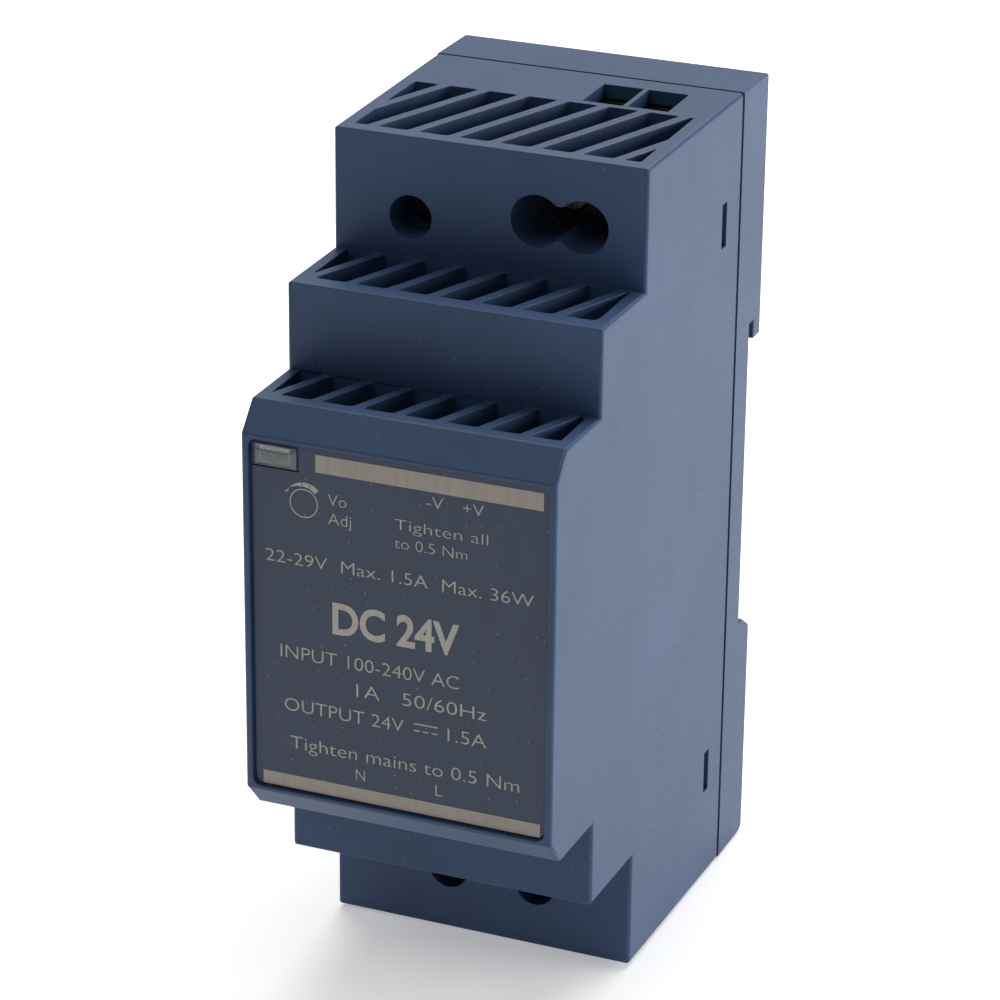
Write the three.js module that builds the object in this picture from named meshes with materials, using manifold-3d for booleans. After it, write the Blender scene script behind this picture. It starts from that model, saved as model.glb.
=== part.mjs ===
import * as THREE from 'three';
import { mergeVertices } from 'three/addons/utils/BufferGeometryUtils.js';
import Module from 'manifold-3d';

// ---------------------------------------------------------------------------------------------
// Two-module power supply for a 35 mm mounting rail. Millimetres, +Z up, front face towards -Y.
// The housing steps forward twice: terminal level, middle level, then the 45 mm high front block.
// ---------------------------------------------------------------------------------------------

// Overall casing
const WIDTH = 35;
const HEIGHT = 90;
const REAR_Y = 29;
const FRONT_Y = -29;
const PARTING_Y = 21;
const PARTING_GAP = 0.4;
const DRAFT = 0.0102;
const WALL = 1.5;
const MID_Z = HEIGHT / 2;

// Steps of the front profile: distance from the middle height, and depth of each face
const TERMINAL_FACE_Y = -6.1;
const MIDDLE_FACE_Y = -17.7;
const CHAMFER_Y = -26.3;
const MIDDLE_HALF = 31.8;
const FRONT_HALF = 22.5;
const LABEL_HALF = 19.6;

// Recess for a 35 mm wide rail with 1 mm thick edges, seated on a raised pad of the recess floor
const RAIL_SEAT_Y = 25.5;
const SEAT_PAD_Y = 25.7;
const SEAT_PAD_Z = [29.4, 60.2];
const LIP_Y = 26.8;
const RAIL_TOP = 62.7;
const RAIL_BOTTOM = 27.3;
const UPPER_LIP_Z = 60.6;
const LOWER_LIP_Z = 25.8;

// Ventilation grille: slanted bars across a rectangular opening
const GRILLE_LEFT = -15.6;
const GRILLE_RIGHT = 15.5;
const GRILLE_SLOPE = 0.3816;
const BAR_PITCH = 4.47;
const BAR_WIDTH = 1.2;
const BAR_COUNT = 9;
const GRILLE_DEPTH = 2.5;

// Terminals: screws run front to back, wires enter from the top and the bottom
const OUTPUT_X = [5.15, 10.15];
const OUTPUT_Z = 82.6;
const OUTPUT_ACCESS_R = 2.75;
const INPUT_X = [-4.0, 6.1];
const INPUT_Z = HEIGHT - OUTPUT_Z;
const INPUT_ACCESS_R = 2.25;
const ENTRY_Y0 = 11.9;
const ENTRY_Y1 = 18.1;
const ENTRY_HALF = 2.15;

// Voltage trimmer behind the round access hole
const TRIMMER_X = -8.6;
const TRIMMER_Y = -0.2;
const TRIMMER_Z = 81.1;
const TRIMMER_ACCESS_R = 2.3;

// Circuit board
const BOARD_Y = 19.9;
const BOARD_THICK = 1.6;
const BOARD_HALF_X = 14.6;
const BOARD_Z0 = 2.5;
const BOARD_Z1 = 87.5;

// Light pipe
const LIGHT_X = -13.4;
const LIGHT_Z = 62.5;

const wasm = await Module();
wasm.setup();

const plastic = (color, roughness) =>
  new THREE.MeshStandardMaterial({ color, roughness, metalness: 0 });
const metal = (color, roughness) =>
  new THREE.MeshStandardMaterial({ color, roughness, metalness: 1 });

const finish = {
  casing: plastic(0x4a5670, 0.6),
  latch: plastic(0x2c3036, 0.55),
  label: plastic(0x3f4756, 0.65),
  clear: plastic(0xd8e2e6, 0.1),
  terminal: plastic(0x2f3a34, 0.5),
  board: plastic(0x2f6b46, 0.5),
  black: plastic(0x202226, 0.5),
  blue: plastic(0x2c5fa8, 0.45),
  yellow: plastic(0xd9b13a, 0.5),
  green: plastic(0x5aa06a, 0.35),
  white: plastic(0xe6e4dc, 0.4),
  ceramic: plastic(0xc98a3c, 0.45),
  ferrite: plastic(0x3b3a3c, 0.7),
  copper: metal(0xb8703a, 0.35),
  steel: metal(0xb9bcc0, 0.35),
  brass: metal(0xc9b27a, 0.35),
  tinned: metal(0xd0d2d4, 0.3),
  aluminium: metal(0xb4b8bc, 0.4),
};

// --- Solids -----------------------------------------------------------------------------------

function solid(geometry) {
  const bare = geometry.clone();
  bare.deleteAttribute('normal');
  bare.deleteAttribute('uv');
  const welded = mergeVertices(bare, 1e-5);
  const mesh = new wasm.Mesh({
    numProp: 3,
    vertProperties: new Float32Array(welded.attributes.position.array),
    triVerts: new Uint32Array(welded.index.array),
  });
  mesh.merge();
  return new wasm.Manifold(mesh);
}

function shapeOf(body) {
  const mesh = body.getMesh();
  const geometry = new THREE.BufferGeometry();
  const coordinates = new Float32Array(mesh.numVert * 3);
  for (let i = 0; i < mesh.numVert; i += 1) {
    for (let k = 0; k < 3; k += 1) {
      coordinates[3 * i + k] = mesh.vertProperties[i * mesh.numProp + k];
    }
  }
  geometry.setAttribute('position', new THREE.BufferAttribute(coordinates, 3));
  geometry.setIndex(new THREE.BufferAttribute(new Uint32Array(mesh.triVerts), 1));
  const flat = geometry.toNonIndexed();
  flat.computeVertexNormals();
  return flat;
}

function block(x0, x1, y0, y1, z0, z1) {
  const geometry = new THREE.BoxGeometry(x1 - x0, y1 - y0, z1 - z0);
  geometry.translate((x0 + x1) / 2, (y0 + y1) / 2, (z0 + z1) / 2);
  return solid(geometry);
}

const AXES = {
  x: [[0, 1, 0], [0, 0, 1], [1, 0, 0]],
  y: [[0, 0, 1], [1, 0, 0], [0, 1, 0]],
  z: [[1, 0, 0], [0, 1, 0], [0, 0, 1]],
};

function alongAxis(geometry, axis) {
  const [u, v, w] = AXES[axis].map((column) => new THREE.Vector3(...column));
  geometry.applyMatrix4(new THREE.Matrix4().makeBasis(u, v, w));
  return geometry;
}

// Prism along an axis. Profile points are [Y, Z] for x, [Z, X] for y and [X, Y] for z.
function prism(axis, points, from, to) {
  const shape = new THREE.Shape(points.map(([u, v]) => new THREE.Vector2(u, v)));
  const geometry = new THREE.ExtrudeGeometry(shape, { depth: to - from, bevelEnabled: false });
  geometry.translate(0, 0, from);
  return solid(alongAxis(geometry, axis));
}

// Solid of revolution. Profile points are [radius, height] along the axis.
function turned(axis, points, segments = 24) {
  const profile = points.map(([r, h]) => new THREE.Vector2(r, h));
  const geometry = new THREE.LatheGeometry(profile, segments);
  geometry.rotateX(Math.PI / 2);
  return solid(alongAxis(geometry, axis));
}

// Cylinder along an axis through (a, b), the other two coordinates in X, Y, Z order
function rod(axis, a, b, radius, from, to, segments = 24) {
  const body = turned(axis, [[0, from], [radius, from], [radius, to], [0, to]], segments);
  const offset = { x: [0, a, b], y: [a, 0, b], z: [a, b, 0] }[axis];
  return body.translate(offset);
}

function union(bodies) {
  return bodies.reduce((whole, body) => whole.add(body));
}

const part = new THREE.Group();
part.name = 'din_rail_power_supply';

function place(parent, name, body, material, position = [0, 0, 0]) {
  const mesh = new THREE.Mesh(shapeOf(body), material);
  mesh.name = name;
  mesh.position.set(...position);
  parent.add(mesh);
  return mesh;
}

// --- Casing -----------------------------------------------------------------------------------

const halfWidthAt = (y) => WIDTH / 2 - DRAFT * (REAR_Y - y);
const topAt = (y) => HEIGHT - DRAFT * Math.max(0, PARTING_Y - y);

// Upper half of the side profile from the front to the rear edge, then mirrored below
function sideProfile(rearY, inset) {
  const upper = [
    [FRONT_Y + inset, MID_Z + LABEL_HALF - inset * 0.5],
    [CHAMFER_Y + inset * 0.6, MID_Z + FRONT_HALF - inset],
    [MIDDLE_FACE_Y + inset, MID_Z + FRONT_HALF - inset],
    [MIDDLE_FACE_Y + inset, MID_Z + MIDDLE_HALF - inset],
    [TERMINAL_FACE_Y + inset, MID_Z + MIDDLE_HALF - inset],
    [TERMINAL_FACE_Y + inset, topAt(TERMINAL_FACE_Y + inset) - inset],
    [rearY, topAt(rearY) - inset],
  ];
  const lower = upper.map(([y, z]) => [y, HEIGHT - z]).reverse();
  return [...upper, ...lower].reverse();
}

function planOutline(frontY, rearY, inset, corner) {
  const front = halfWidthAt(frontY) - inset;
  const rear = halfWidthAt(rearY) - inset;
  return [
    [-front + corner, frontY],
    [front - corner, frontY],
    [front, frontY + corner],
    [rear, rearY],
    [-rear, rearY],
    [-front, frontY + corner],
  ];
}

const casingRear = PARTING_Y - PARTING_GAP / 2;
const outerShell = prism('x', sideProfile(casingRear, 0), -WIDTH / 2, WIDTH / 2).intersect(
  prism('z', planOutline(FRONT_Y, casingRear, 0, 0.4), 0, HEIGHT),
);
const cavity = prism('x', sideProfile(casingRear + 1, WALL), -WIDTH / 2, WIDTH / 2).intersect(
  prism('z', planOutline(FRONT_Y, casingRear + 1, WALL, 0.4), 0, HEIGHT),
);

// One grille: a rectangular opening crossed by slanted bars, cut through a thickened wall
const middleTop = () => MID_Z + MIDDLE_HALF;
const frontTop = () => MID_Z + FRONT_HALF;
const GRILLES = [
  { y0: -4.3, y1: 11, barX: -18.68, barY: -4.2, face: topAt, rearWall: 0.8 },
  { y0: -15.5, y1: TERMINAL_FACE_Y, barX: -16, barY: -15.3, face: middleTop, rearWall: 1.2 },
  { y0: -24.65, y1: MIDDLE_FACE_Y, barX: -15.6, barY: -24.4, face: frontTop, rearWall: 1.2 },
];

function grilleFrame({ y0, y1, face, rearWall }) {
  const top = face(y0) - 0.2;
  const bottom = top - GRILLE_DEPTH + 0.2;
  return block(GRILLE_LEFT - 0.9, GRILLE_RIGHT + 1, y0 - 0.8, y1 + rearWall, bottom, top);
}

function grilleSlots({ y0, y1, barX, barY, face }) {
  const top = face(y1);
  const opening = block(GRILLE_LEFT, GRILLE_RIGHT, y0, y1, top - GRILLE_DEPTH - 1, top + 1);
  const bars = [];
  for (let k = -1; k < BAR_COUNT; k += 1) {
    const left = (y) => barX + BAR_PITCH * k + GRILLE_SLOPE * (y - barY);
    bars.push(
      prism(
        'z',
        [
          [left(y0 - 1), y0 - 1],
          [left(y0 - 1) + BAR_WIDTH, y0 - 1],
          [left(y1 + 1) + BAR_WIDTH, y1 + 1],
          [left(y1 + 1), y1 + 1],
        ],
        top - GRILLE_DEPTH - 2,
        top + 2,
      ),
    );
  }
  return opening.subtract(union(bars));
}

function upsideDown(body) {
  return body.mirror([0, 0, 1]).translate([0, 0, HEIGHT]);
}

const grilleFrames = GRILLES.map(grilleFrame);
const grilleCuts = GRILLES.map(grilleSlots);

let housing = outerShell.subtract(cavity);
const fullWidth = prism('z', planOutline(FRONT_Y, casingRear, 0.5, 0.4), 0, HEIGHT);
for (const frame of grilleFrames) {
  housing = housing.add(frame.intersect(fullWidth)).add(upsideDown(frame).intersect(fullWidth));
}
for (const cut of grilleCuts) {
  housing = housing.subtract(cut).subtract(upsideDown(cut));
}

// Guide tubes from the terminal face back to the terminal blocks
const TUBE_WALL = 0.9;
const TUBE_END = 2.6;
const TRIMMER_TUBE_END = TRIMMER_Y - 0.6;
const rodsAt = (xs, z, r, from, to) => union(xs.map((x) => rod('y', x, z, r, from, to, 32)));
const tubesAt = (xs, z, r, end) => rodsAt(xs, z, r + TUBE_WALL, TERMINAL_FACE_Y + 0.5, end);
const holesAt = (xs, z, r, end) => rodsAt(xs, z, r, TERMINAL_FACE_Y - 1, end + 0.5);
const belowTop = block(-WIDTH / 2, WIDTH / 2, TERMINAL_FACE_Y, TUBE_END + 1, 1, HEIGHT - 1);
housing = housing
  .add(tubesAt(OUTPUT_X, OUTPUT_Z, OUTPUT_ACCESS_R, TUBE_END).intersect(belowTop))
  .add(tubesAt(INPUT_X, INPUT_Z, INPUT_ACCESS_R, TUBE_END).intersect(belowTop))
  .add(tubesAt([TRIMMER_X], TRIMMER_Z, TRIMMER_ACCESS_R, TRIMMER_TUBE_END).intersect(belowTop))
  .subtract(holesAt(OUTPUT_X, OUTPUT_Z, OUTPUT_ACCESS_R, TUBE_END))
  .subtract(holesAt(INPUT_X, INPUT_Z, INPUT_ACCESS_R, TUBE_END))
  .subtract(holesAt([TRIMMER_X], TRIMMER_Z, TRIMMER_ACCESS_R, TRIMMER_TUBE_END));

// Wire entries: square holes
function wireEntry(x) {
  return block(x - ENTRY_HALF, x + ENTRY_HALF, ENTRY_Y0, ENTRY_Y1, HEIGHT - 3, HEIGHT + 0.4);
}
for (const x of OUTPUT_X) {
  housing = housing.subtract(wireEntry(x));
}
for (const x of INPUT_X) {
  housing = housing.subtract(upsideDown(wireEntry(x)));
}

// Windows in the side walls for the snap tabs of the rear cover
const SNAP_Y = [15.6, 17.0];
const SNAP_NEAR = 29.4;
const SNAP_FAR = 34.3;
for (const sign of [-1, 1]) {
  const z0 = Math.min(MID_Z + sign * SNAP_NEAR, MID_Z + sign * SNAP_FAR);
  const window = block(-WIDTH, WIDTH, SNAP_Y[0], SNAP_Y[1], z0, z0 + SNAP_FAR - SNAP_NEAR);
  housing = housing.subtract(window);
}

// Recess for the front label and the window of the light pipe
const LABEL_HALF_X = 16.1;
const LABEL_Z = [25.8, 64.2];
const LABEL_DEPTH = 0.7;
const labelFloor = FRONT_Y + LABEL_DEPTH;
const [lightX, lightZ] = [[LIGHT_X - 1.6, LIGHT_X + 1.6], [LIGHT_Z - 0.8, LIGHT_Z + 0.8]];
housing = housing
  .subtract(block(-LABEL_HALF_X, LABEL_HALF_X, FRONT_Y - 1, labelFloor, ...LABEL_Z))
  .subtract(block(...lightX, FRONT_Y - 1, FRONT_Y + 3, ...lightZ));

place(part, 'front_housing', housing, finish.casing);

// Front label: a thin plate in the recess
const LABEL_THICK = 0.2;
const LABEL_GAP = 0.15;
const labelY = labelFloor - LABEL_THICK;
const labelPlate = block(
  -LABEL_HALF_X + LABEL_GAP,
  LABEL_HALF_X - LABEL_GAP,
  labelY,
  labelFloor,
  LABEL_Z[0] + LABEL_GAP,
  LABEL_Z[1] - LABEL_GAP,
).subtract(block(LIGHT_X - 2.6, LIGHT_X + 2.6, labelY - 1, labelY + 1, LIGHT_Z - 1.35, LIGHT_Z + 1.35));
place(part, 'front_label', labelPlate, finish.label);

// Light pipe: bevelled head in front of the face, stem back to the lamp
const lightHead = [
  [-2.45, 0.35],
  [2.45, 0.35],
  [2.45, 0.05],
  [1.85, -0.35],
  [-1.85, -0.35],
  [-2.45, 0.05],
];
const lightSides = [
  [0.35, -1.2],
  [0.35, 1.2],
  [0.05, 1.2],
  [-0.35, 0.65],
  [-0.35, -0.65],
  [0.05, -1.2],
].reverse();
const lightPipe = prism('z', lightHead, -1.2, 1.2)
  .intersect(prism('x', lightSides, -2.45, 2.45))
  .add(block(-1.5, 1.5, 0.3, 3.2, -0.7, 0.7));
place(part, 'led_light_pipe', lightPipe, finish.clear, [LIGHT_X, FRONT_Y + LABEL_DEPTH / 2, LIGHT_Z]);

// --- Rear cover, latch and spring ----------------------------------------------------------------

const coverFront = PARTING_Y + PARTING_GAP / 2;
const COVER_CORNER = 0.5;
const CHANNEL_FLOOR = 24.2;
const CHANNEL_HALF = 9.0;
const CHANNEL_NECK = 7.3;
const CHANNEL_NECK_Y = 26.4;
const CHANNEL_TOP = 24.5;

const coverProfile = [
  [coverFront, HEIGHT],
  [REAR_Y - COVER_CORNER, HEIGHT],
  [REAR_Y - COVER_CORNER * 0.3, HEIGHT - COVER_CORNER * 0.3],
  [REAR_Y, HEIGHT - COVER_CORNER],
  [REAR_Y, UPPER_LIP_Z + 0.5],
  [REAR_Y - 0.5, UPPER_LIP_Z],
  [LIP_Y, UPPER_LIP_Z],
  [LIP_Y, RAIL_TOP],
  [RAIL_SEAT_Y, RAIL_TOP],
  [RAIL_SEAT_Y, SEAT_PAD_Z[1]],
  [SEAT_PAD_Y, SEAT_PAD_Z[1]],
  [SEAT_PAD_Y, SEAT_PAD_Z[0]],
  [RAIL_SEAT_Y, SEAT_PAD_Z[0]],
  [RAIL_SEAT_Y, RAIL_BOTTOM],
  [LIP_Y, RAIL_BOTTOM],
  [REAR_Y - 0.4, LOWER_LIP_Z],
  [REAR_Y, LOWER_LIP_Z - 0.4],
  [REAR_Y, COVER_CORNER],
  [REAR_Y - COVER_CORNER * 0.3, COVER_CORNER * 0.3],
  [REAR_Y - COVER_CORNER, 0],
  [coverFront, 0],
].reverse();

const coverPlan = planOutline(coverFront, REAR_Y, 0, 0.1);
let cover = prism('x', coverProfile, -WIDTH / 2, WIDTH / 2).intersect(
  prism('z', coverPlan, -1, HEIGHT + 1),
);

// Tongue that enters the front housing, and the space behind the circuit board
const TONGUE_HALF = 15.72;
const TONGUE_WALL = 0.95;
const TONGUE_FRONT = 19.9;
const TONGUE_Z = [1.9, HEIGHT - 1.9];
const POCKET_FLOOR = 22.9;
const pocketHalf = TONGUE_HALF - TONGUE_WALL;
const pocketZ = [TONGUE_Z[0] + 0.5, TONGUE_Z[1] - 0.5];
cover = cover
  .add(block(-TONGUE_HALF, TONGUE_HALF, TONGUE_FRONT, coverFront + 0.5, ...TONGUE_Z))
  .subtract(block(-pocketHalf, pocketHalf, TONGUE_FRONT - 1, POCKET_FLOOR, ...pocketZ));

// Board posts
for (const x of [-12.6, 12.6]) {
  for (const z of [6, 84]) {
    cover = cover.add(rod('y', x, z, 1.6, BOARD_Y + BOARD_THICK, POCKET_FLOOR + 0.2, 16));
  }
}

// Snap tabs with hooked ends that fill the windows of the front housing
for (const side of [-1, 1]) {
  for (const sign of [-1, 1]) {
    const z0 = MID_Z + sign * (SNAP_NEAR + SNAP_FAR) / 2 - 2.2;
    const tab = [
      [side * 14.75, 15.7],
      [side * 15.7, 15.7],
      [side * 16.75, 16.0],
      [side * 16.75, 16.8],
      [side * 15.7, 16.8],
      [side * 15.7, coverFront],
      [side * 14.75, coverFront],
    ];
    cover = cover.add(prism('z', side > 0 ? tab : tab.reverse(), z0, z0 + 4.4));
  }
}

// T-shaped channel for the latch, open at the bottom
cover = cover
  .subtract(block(-CHANNEL_HALF, CHANNEL_HALF, CHANNEL_FLOOR, CHANNEL_NECK_Y, -1, CHANNEL_TOP))
  .subtract(block(-CHANNEL_NECK, CHANNEL_NECK, CHANNEL_NECK_Y - 0.1, REAR_Y + 1, -1, RAIL_BOTTOM + 1));

// Fixed peg under the latch spring
const PEG_Z = [6.2, 8.0];
cover = cover.add(block(-1.7, 1.7, CHANNEL_FLOOR - 0.2, 27.6, PEG_Z[0], PEG_Z[1]));
place(part, 'rear_cover', cover, finish.casing);

// Rail latch: guided plate, neck, and a tooth behind the lower edge of the rail
const latchNeckHalf = CHANNEL_NECK - 0.25;
const toothProfile = [
  [26.1, 0.2],
  [28.8, 0.2],
  [28.8, 27.2],
  [27.2, 29.0],
  [26.95, 29.0],
  [26.95, 24.3],
  [26.1, 24.3],
];
const latchHalf = CHANNEL_HALF - 0.25;
const latchPlate = block(-latchHalf, latchHalf, CHANNEL_FLOOR + 0.2, 26.2, 0.2, CHANNEL_TOP - 0.2);
const latch = latchPlate
  .add(prism('x', toothProfile, -latchNeckHalf, latchNeckHalf))
  .subtract(block(-2.1, 2.1, 20, 30, 5.8, 20.4))
  .subtract(block(-3, 3, 26.6, 30, 1.6, 3.4));
place(part, 'rail_latch', latch, finish.latch);

// Compression spring between the fixed peg and the top of the latch window
const SPRING_R = 1.45;
const WIRE_R = 0.22;
const SPRING_COILS = 9;
const springFrom = PEG_Z[1] + WIRE_R + 0.03;
const springTo = 20.4 - WIRE_R - 0.03;
class Helix extends THREE.Curve {
  getPoint(t, target = new THREE.Vector3()) {
    const angle = t * SPRING_COILS * 2 * Math.PI;
    const z = springFrom + t * (springTo - springFrom);
    return target.set(SPRING_R * Math.cos(angle), SPRING_R * Math.sin(angle), z);
  }
}
const wireSection = new THREE.Shape();
wireSection.absarc(0, 0, WIRE_R, 0, 2 * Math.PI);
const springGeometry = new THREE.ExtrudeGeometry(wireSection, {
  steps: SPRING_COILS * 14,
  curveSegments: 3,
  extrudePath: new Helix(),
});
place(part, 'latch_spring', solid(springGeometry), finish.steel, [0, 26.1, 0]);

// --- Terminals --------------------------------------------------------------------------------

const SCREW_HEAD_R = 1.9;
const THREAD_R = 1.2;
const POLE_BORE_R = 2.1;
const CAGE_HALF = 1.85;
const CHAMBER_HALF = 2.05;
const SHOULDER_Y = [5.7, 6.1];
const BLOCK_FRONT_Y = 3.0;
const BLOCK_REAR_Y = 19.7;

// One pole in its own frame: origin on the screw axis, wire entering from +Z
function poleCuts(x) {
  return union([
    rod('y', 0, 0, POLE_BORE_R, BLOCK_FRONT_Y - 1, SHOULDER_Y[0]),
    rod('y', 0, 0, 1.4, BLOCK_FRONT_Y, SHOULDER_Y[1] + 1),
    block(-CHAMBER_HALF, CHAMBER_HALF, SHOULDER_Y[1], ENTRY_Y1, -4.8, 4.2),
    block(-CHAMBER_HALF, CHAMBER_HALF, ENTRY_Y0, ENTRY_Y1, 4.1, 8),
    block(-0.8, 0.8, ENTRY_Y1 - 0.1, BLOCK_REAR_Y + 1, -4.8, -3.4),
  ]).translate([x, 0, 0]);
}

const blockSide = [
  [BLOCK_FRONT_Y, -5.7],
  [BLOCK_REAR_Y, -5.7],
  [BLOCK_REAR_Y, 5.5],
  [12.1, 5.5],
  [12.1, 4.4],
  [BLOCK_FRONT_Y, 4.4],
];

function terminalBlock(from, to, poles) {
  let body = prism('x', blockSide, from, to);
  for (const x of poles) {
    body = body.subtract(poleCuts(x));
  }
  return body;
}

const screwBody = turned('y', [
  [0, 3.7],
  [SCREW_HEAD_R - 0.2, 3.7],
  [SCREW_HEAD_R, 3.9],
  [SCREW_HEAD_R, 5.6],
  [THREAD_R, 5.6],
  [THREAD_R, 12.2],
  [0.9, 12.5],
  [0, 12.5],
])
  .subtract(block(-SCREW_HEAD_R, SCREW_HEAD_R, 3, 4.6, -0.3, 0.3))
  .subtract(block(-0.3, 0.3, 3, 4.6, -1.2, 1.2));

const CAGE_FRONT = 9.7;
const CAGE_REAR = 18.0;
const cageBody = block(-CAGE_HALF, CAGE_HALF, CAGE_FRONT, CAGE_REAR, -3.2, 3.2)
  .subtract(block(-1.45, 1.45, CAGE_FRONT + 1.6, CAGE_REAR - 0.8, -4, 4))
  .subtract(rod('y', 0, 0, THREAD_R + 0.08, 0, CAGE_FRONT + 2));

const CONTACT_Y = 12.6;
const contactBody = block(-1.3, 1.3, CONTACT_Y, CONTACT_Y + 0.8, -4.5, 3.9)
  .add(block(-1.3, 1.3, CONTACT_Y, ENTRY_Y1 - 0.2, -4.5, -3.7))
  .add(block(-0.5, 0.5, ENTRY_Y1 - 0.3, 22.2, -4.5, -3.7));

const outputTerminals = new THREE.Group();
outputTerminals.name = 'output_terminals';
outputTerminals.position.set(0, 0, OUTPUT_Z);
part.add(outputTerminals);
const inputTerminals = new THREE.Group();
inputTerminals.name = 'input_terminals';
inputTerminals.position.set(0, 0, INPUT_Z);
inputTerminals.rotation.y = Math.PI;
part.add(inputTerminals);

const TERMINALS = [
  {
    group: outputTerminals,
    side: 1,
    name: 'output_terminal_block',
    span: [2.3, 12.95],
    x: OUTPUT_X,
    poles: ['negative', 'positive'],
  },
  {
    group: inputTerminals,
    side: -1,
    name: 'input_terminal_block',
    span: [-9.1, 7.0],
    x: INPUT_X,
    poles: ['neutral', 'line'],
  },
];
for (const { group, side, name, span, x, poles } of TERMINALS) {
  place(group, name, terminalBlock(...span, x.map((value) => side * value)), finish.terminal);
  poles.forEach((pole, index) => {
    const at = [side * x[index], 0, 0];
    place(group, `${pole}_screw`, screwBody, finish.steel, at);
    place(group, `${pole}_clamp_cage`, cageBody, finish.brass, at);
    place(group, `${pole}_contact`, contactBody, finish.tinned, at);
  });
}

// --- Circuit boards ---------------------------------------------------------------------------

const boardRear = BOARD_Y + BOARD_THICK;
let mainBoard = block(-BOARD_HALF_X, BOARD_HALF_X, BOARD_Y, boardRear, BOARD_Z0, BOARD_Z1);
const pinHoles = [
  ...OUTPUT_X.map((x) => [x, OUTPUT_Z - 4.1]),
  ...INPUT_X.map((x) => [x, INPUT_Z + 4.1]),
];
for (const [x, z] of pinHoles) {
  const pinHole = block(x - 0.7, x + 0.7, BOARD_Y - 1, boardRear + 1, z - 0.6, z + 0.6);
  mainBoard = mainBoard.subtract(pinHole);
}
place(part, 'main_board', mainBoard, finish.board);

const CONTROL_X = [-15.0, -14.0];
const controlProfile = [
  [19.6, 49],
  [19.6, 68],
  [13.5, 70],
  [13.5, 85.5],
  [-3.4, 85.5],
  [-3.4, 74.2],
  [-14.6, 74.2],
  [-14.6, 64.4],
  [-25.2, 64.4],
  [-25.2, 58],
  [4, 49],
].reverse();
place(part, 'control_board', prism('x', controlProfile, CONTROL_X[0], CONTROL_X[1]), finish.board);
place(part, 'board_header', block(-14.0, -11.6, 17.0, BOARD_Y, 60.4, 66.0), finish.black);
place(part, 'control_chip', block(-14.0, -12.5, -6, -1.2, 60, 64), finish.black);
place(part, 'led', block(-14.0, -12.6, -25.2, -22.8, LIGHT_Z - 0.9, LIGHT_Z + 0.9), finish.white);

const trimmerBody = block(-3.5, 3.5, 0, 4.8, -3.5, 3.5)
  .subtract(rod('y', 0, 0, 1.8, -1, 1.6))
  .add(block(-5.4, -3.4, 1.6, 3.2, -1.4, 1.4));
place(part, 'voltage_trimmer', trimmerBody, finish.blue, [TRIMMER_X, TRIMMER_Y, TRIMMER_Z]);
const rotorBody = rod('y', 0, 0, 1.65, 0, 1.7)
  .subtract(block(-2, 2, -1, 0.8, -0.3, 0.3))
  .subtract(block(-0.3, 0.3, -1, 0.8, -1.0, 1.0));
place(part, 'trimmer_rotor', rotorBody, finish.black, [TRIMMER_X, TRIMMER_Y - 0.3, TRIMMER_Z]);

// --- Mains input stage ------------------------------------------------------------------------

// Cylinder standing on the board, with rounded front edge
function can(radius, height, segments = 24) {
  const profile = [[0, -height], [radius - 0.5, -height], [radius, -height + 0.5], [radius, 0], [0, 0]];
  return turned('y', profile, segments);
}

place(part, 'fuse', can(3.3, 8), finish.black, [-11.1, BOARD_Y, 7.6]);

// Disc component: thin round body on edge with two legs to the board
function discBody(radius, thickness, lift) {
  const round = turned('x', [
    [0, -thickness / 2],
    [radius - 0.6, -thickness / 2],
    [radius, -thickness / 5],
    [radius, thickness / 5],
    [radius - 0.6, thickness / 2],
    [0, thickness / 2],
  ]).translate([0, -radius - lift, 0]);
  const leg = (z) => block(-0.35, 0.35, -radius - lift, 0, z - 0.35, z + 0.35);
  return round.add(leg(-2.2)).add(leg(2.2));
}
place(part, 'varistor', discBody(4.9, 3.4, 1.2), finish.blue, [12.2, BOARD_Y, 7.7]);
place(part, 'thermistor', discBody(4.3, 3.4, 1.2), finish.black, [-11.5, BOARD_Y, 17.2]);
place(part, 'x_capacitor', block(-3, 3, -12.6, 0, -7.8, 7.8), finish.yellow, [11.2, BOARD_Y, 22.4]);

const CHOKE_AT = [-1.0, 15.2, 21.6];
const ringOf = (outer, inner, half) =>
  turned('y', [[inner, -half], [outer, -half], [outer, half], [inner, half], [inner, -half]], 32);
const chokeCore = ringOf(6.1, 3.7, 2.9);
place(part, 'choke_core', chokeCore, finish.ferrite, CHOKE_AT);
const sheath = ringOf(7.0, 2.8, 3.8).subtract(ringOf(6.2, 3.6, 3.0));
for (const [name, sign] of [['left', -1], ['right', 1]]) {
  const sector = [
    [0.4, sign * 0.9],
    [7, sign * 4.5],
    [9, sign * 9],
    [-9, sign * 9],
    [-7, sign * 4.5],
    [-0.4, sign * 0.9],
  ];
  const wedge = prism('y', sign > 0 ? sector : sector.reverse(), -5, 5);
  place(part, `choke_winding_${name}`, sheath.intersect(wedge), finish.copper, CHOKE_AT);
}

const bridge = block(-2, 2, -14, -3, -7, 7);
const bridgeLegs = [-5.6, -1.9, 1.9, 5.6].map((z) => block(-0.4, 0.4, -3.5, 0, z - 0.4, z + 0.4));
place(part, 'bridge_rectifier', bridge.add(union(bridgeLegs)), finish.black, [-11.6, BOARD_Y, 30.4]);
place(part, 'bulk_capacitor', can(8.0, 26, 36), finish.black, [4.8, BOARD_Y, 39.0]);

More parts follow.
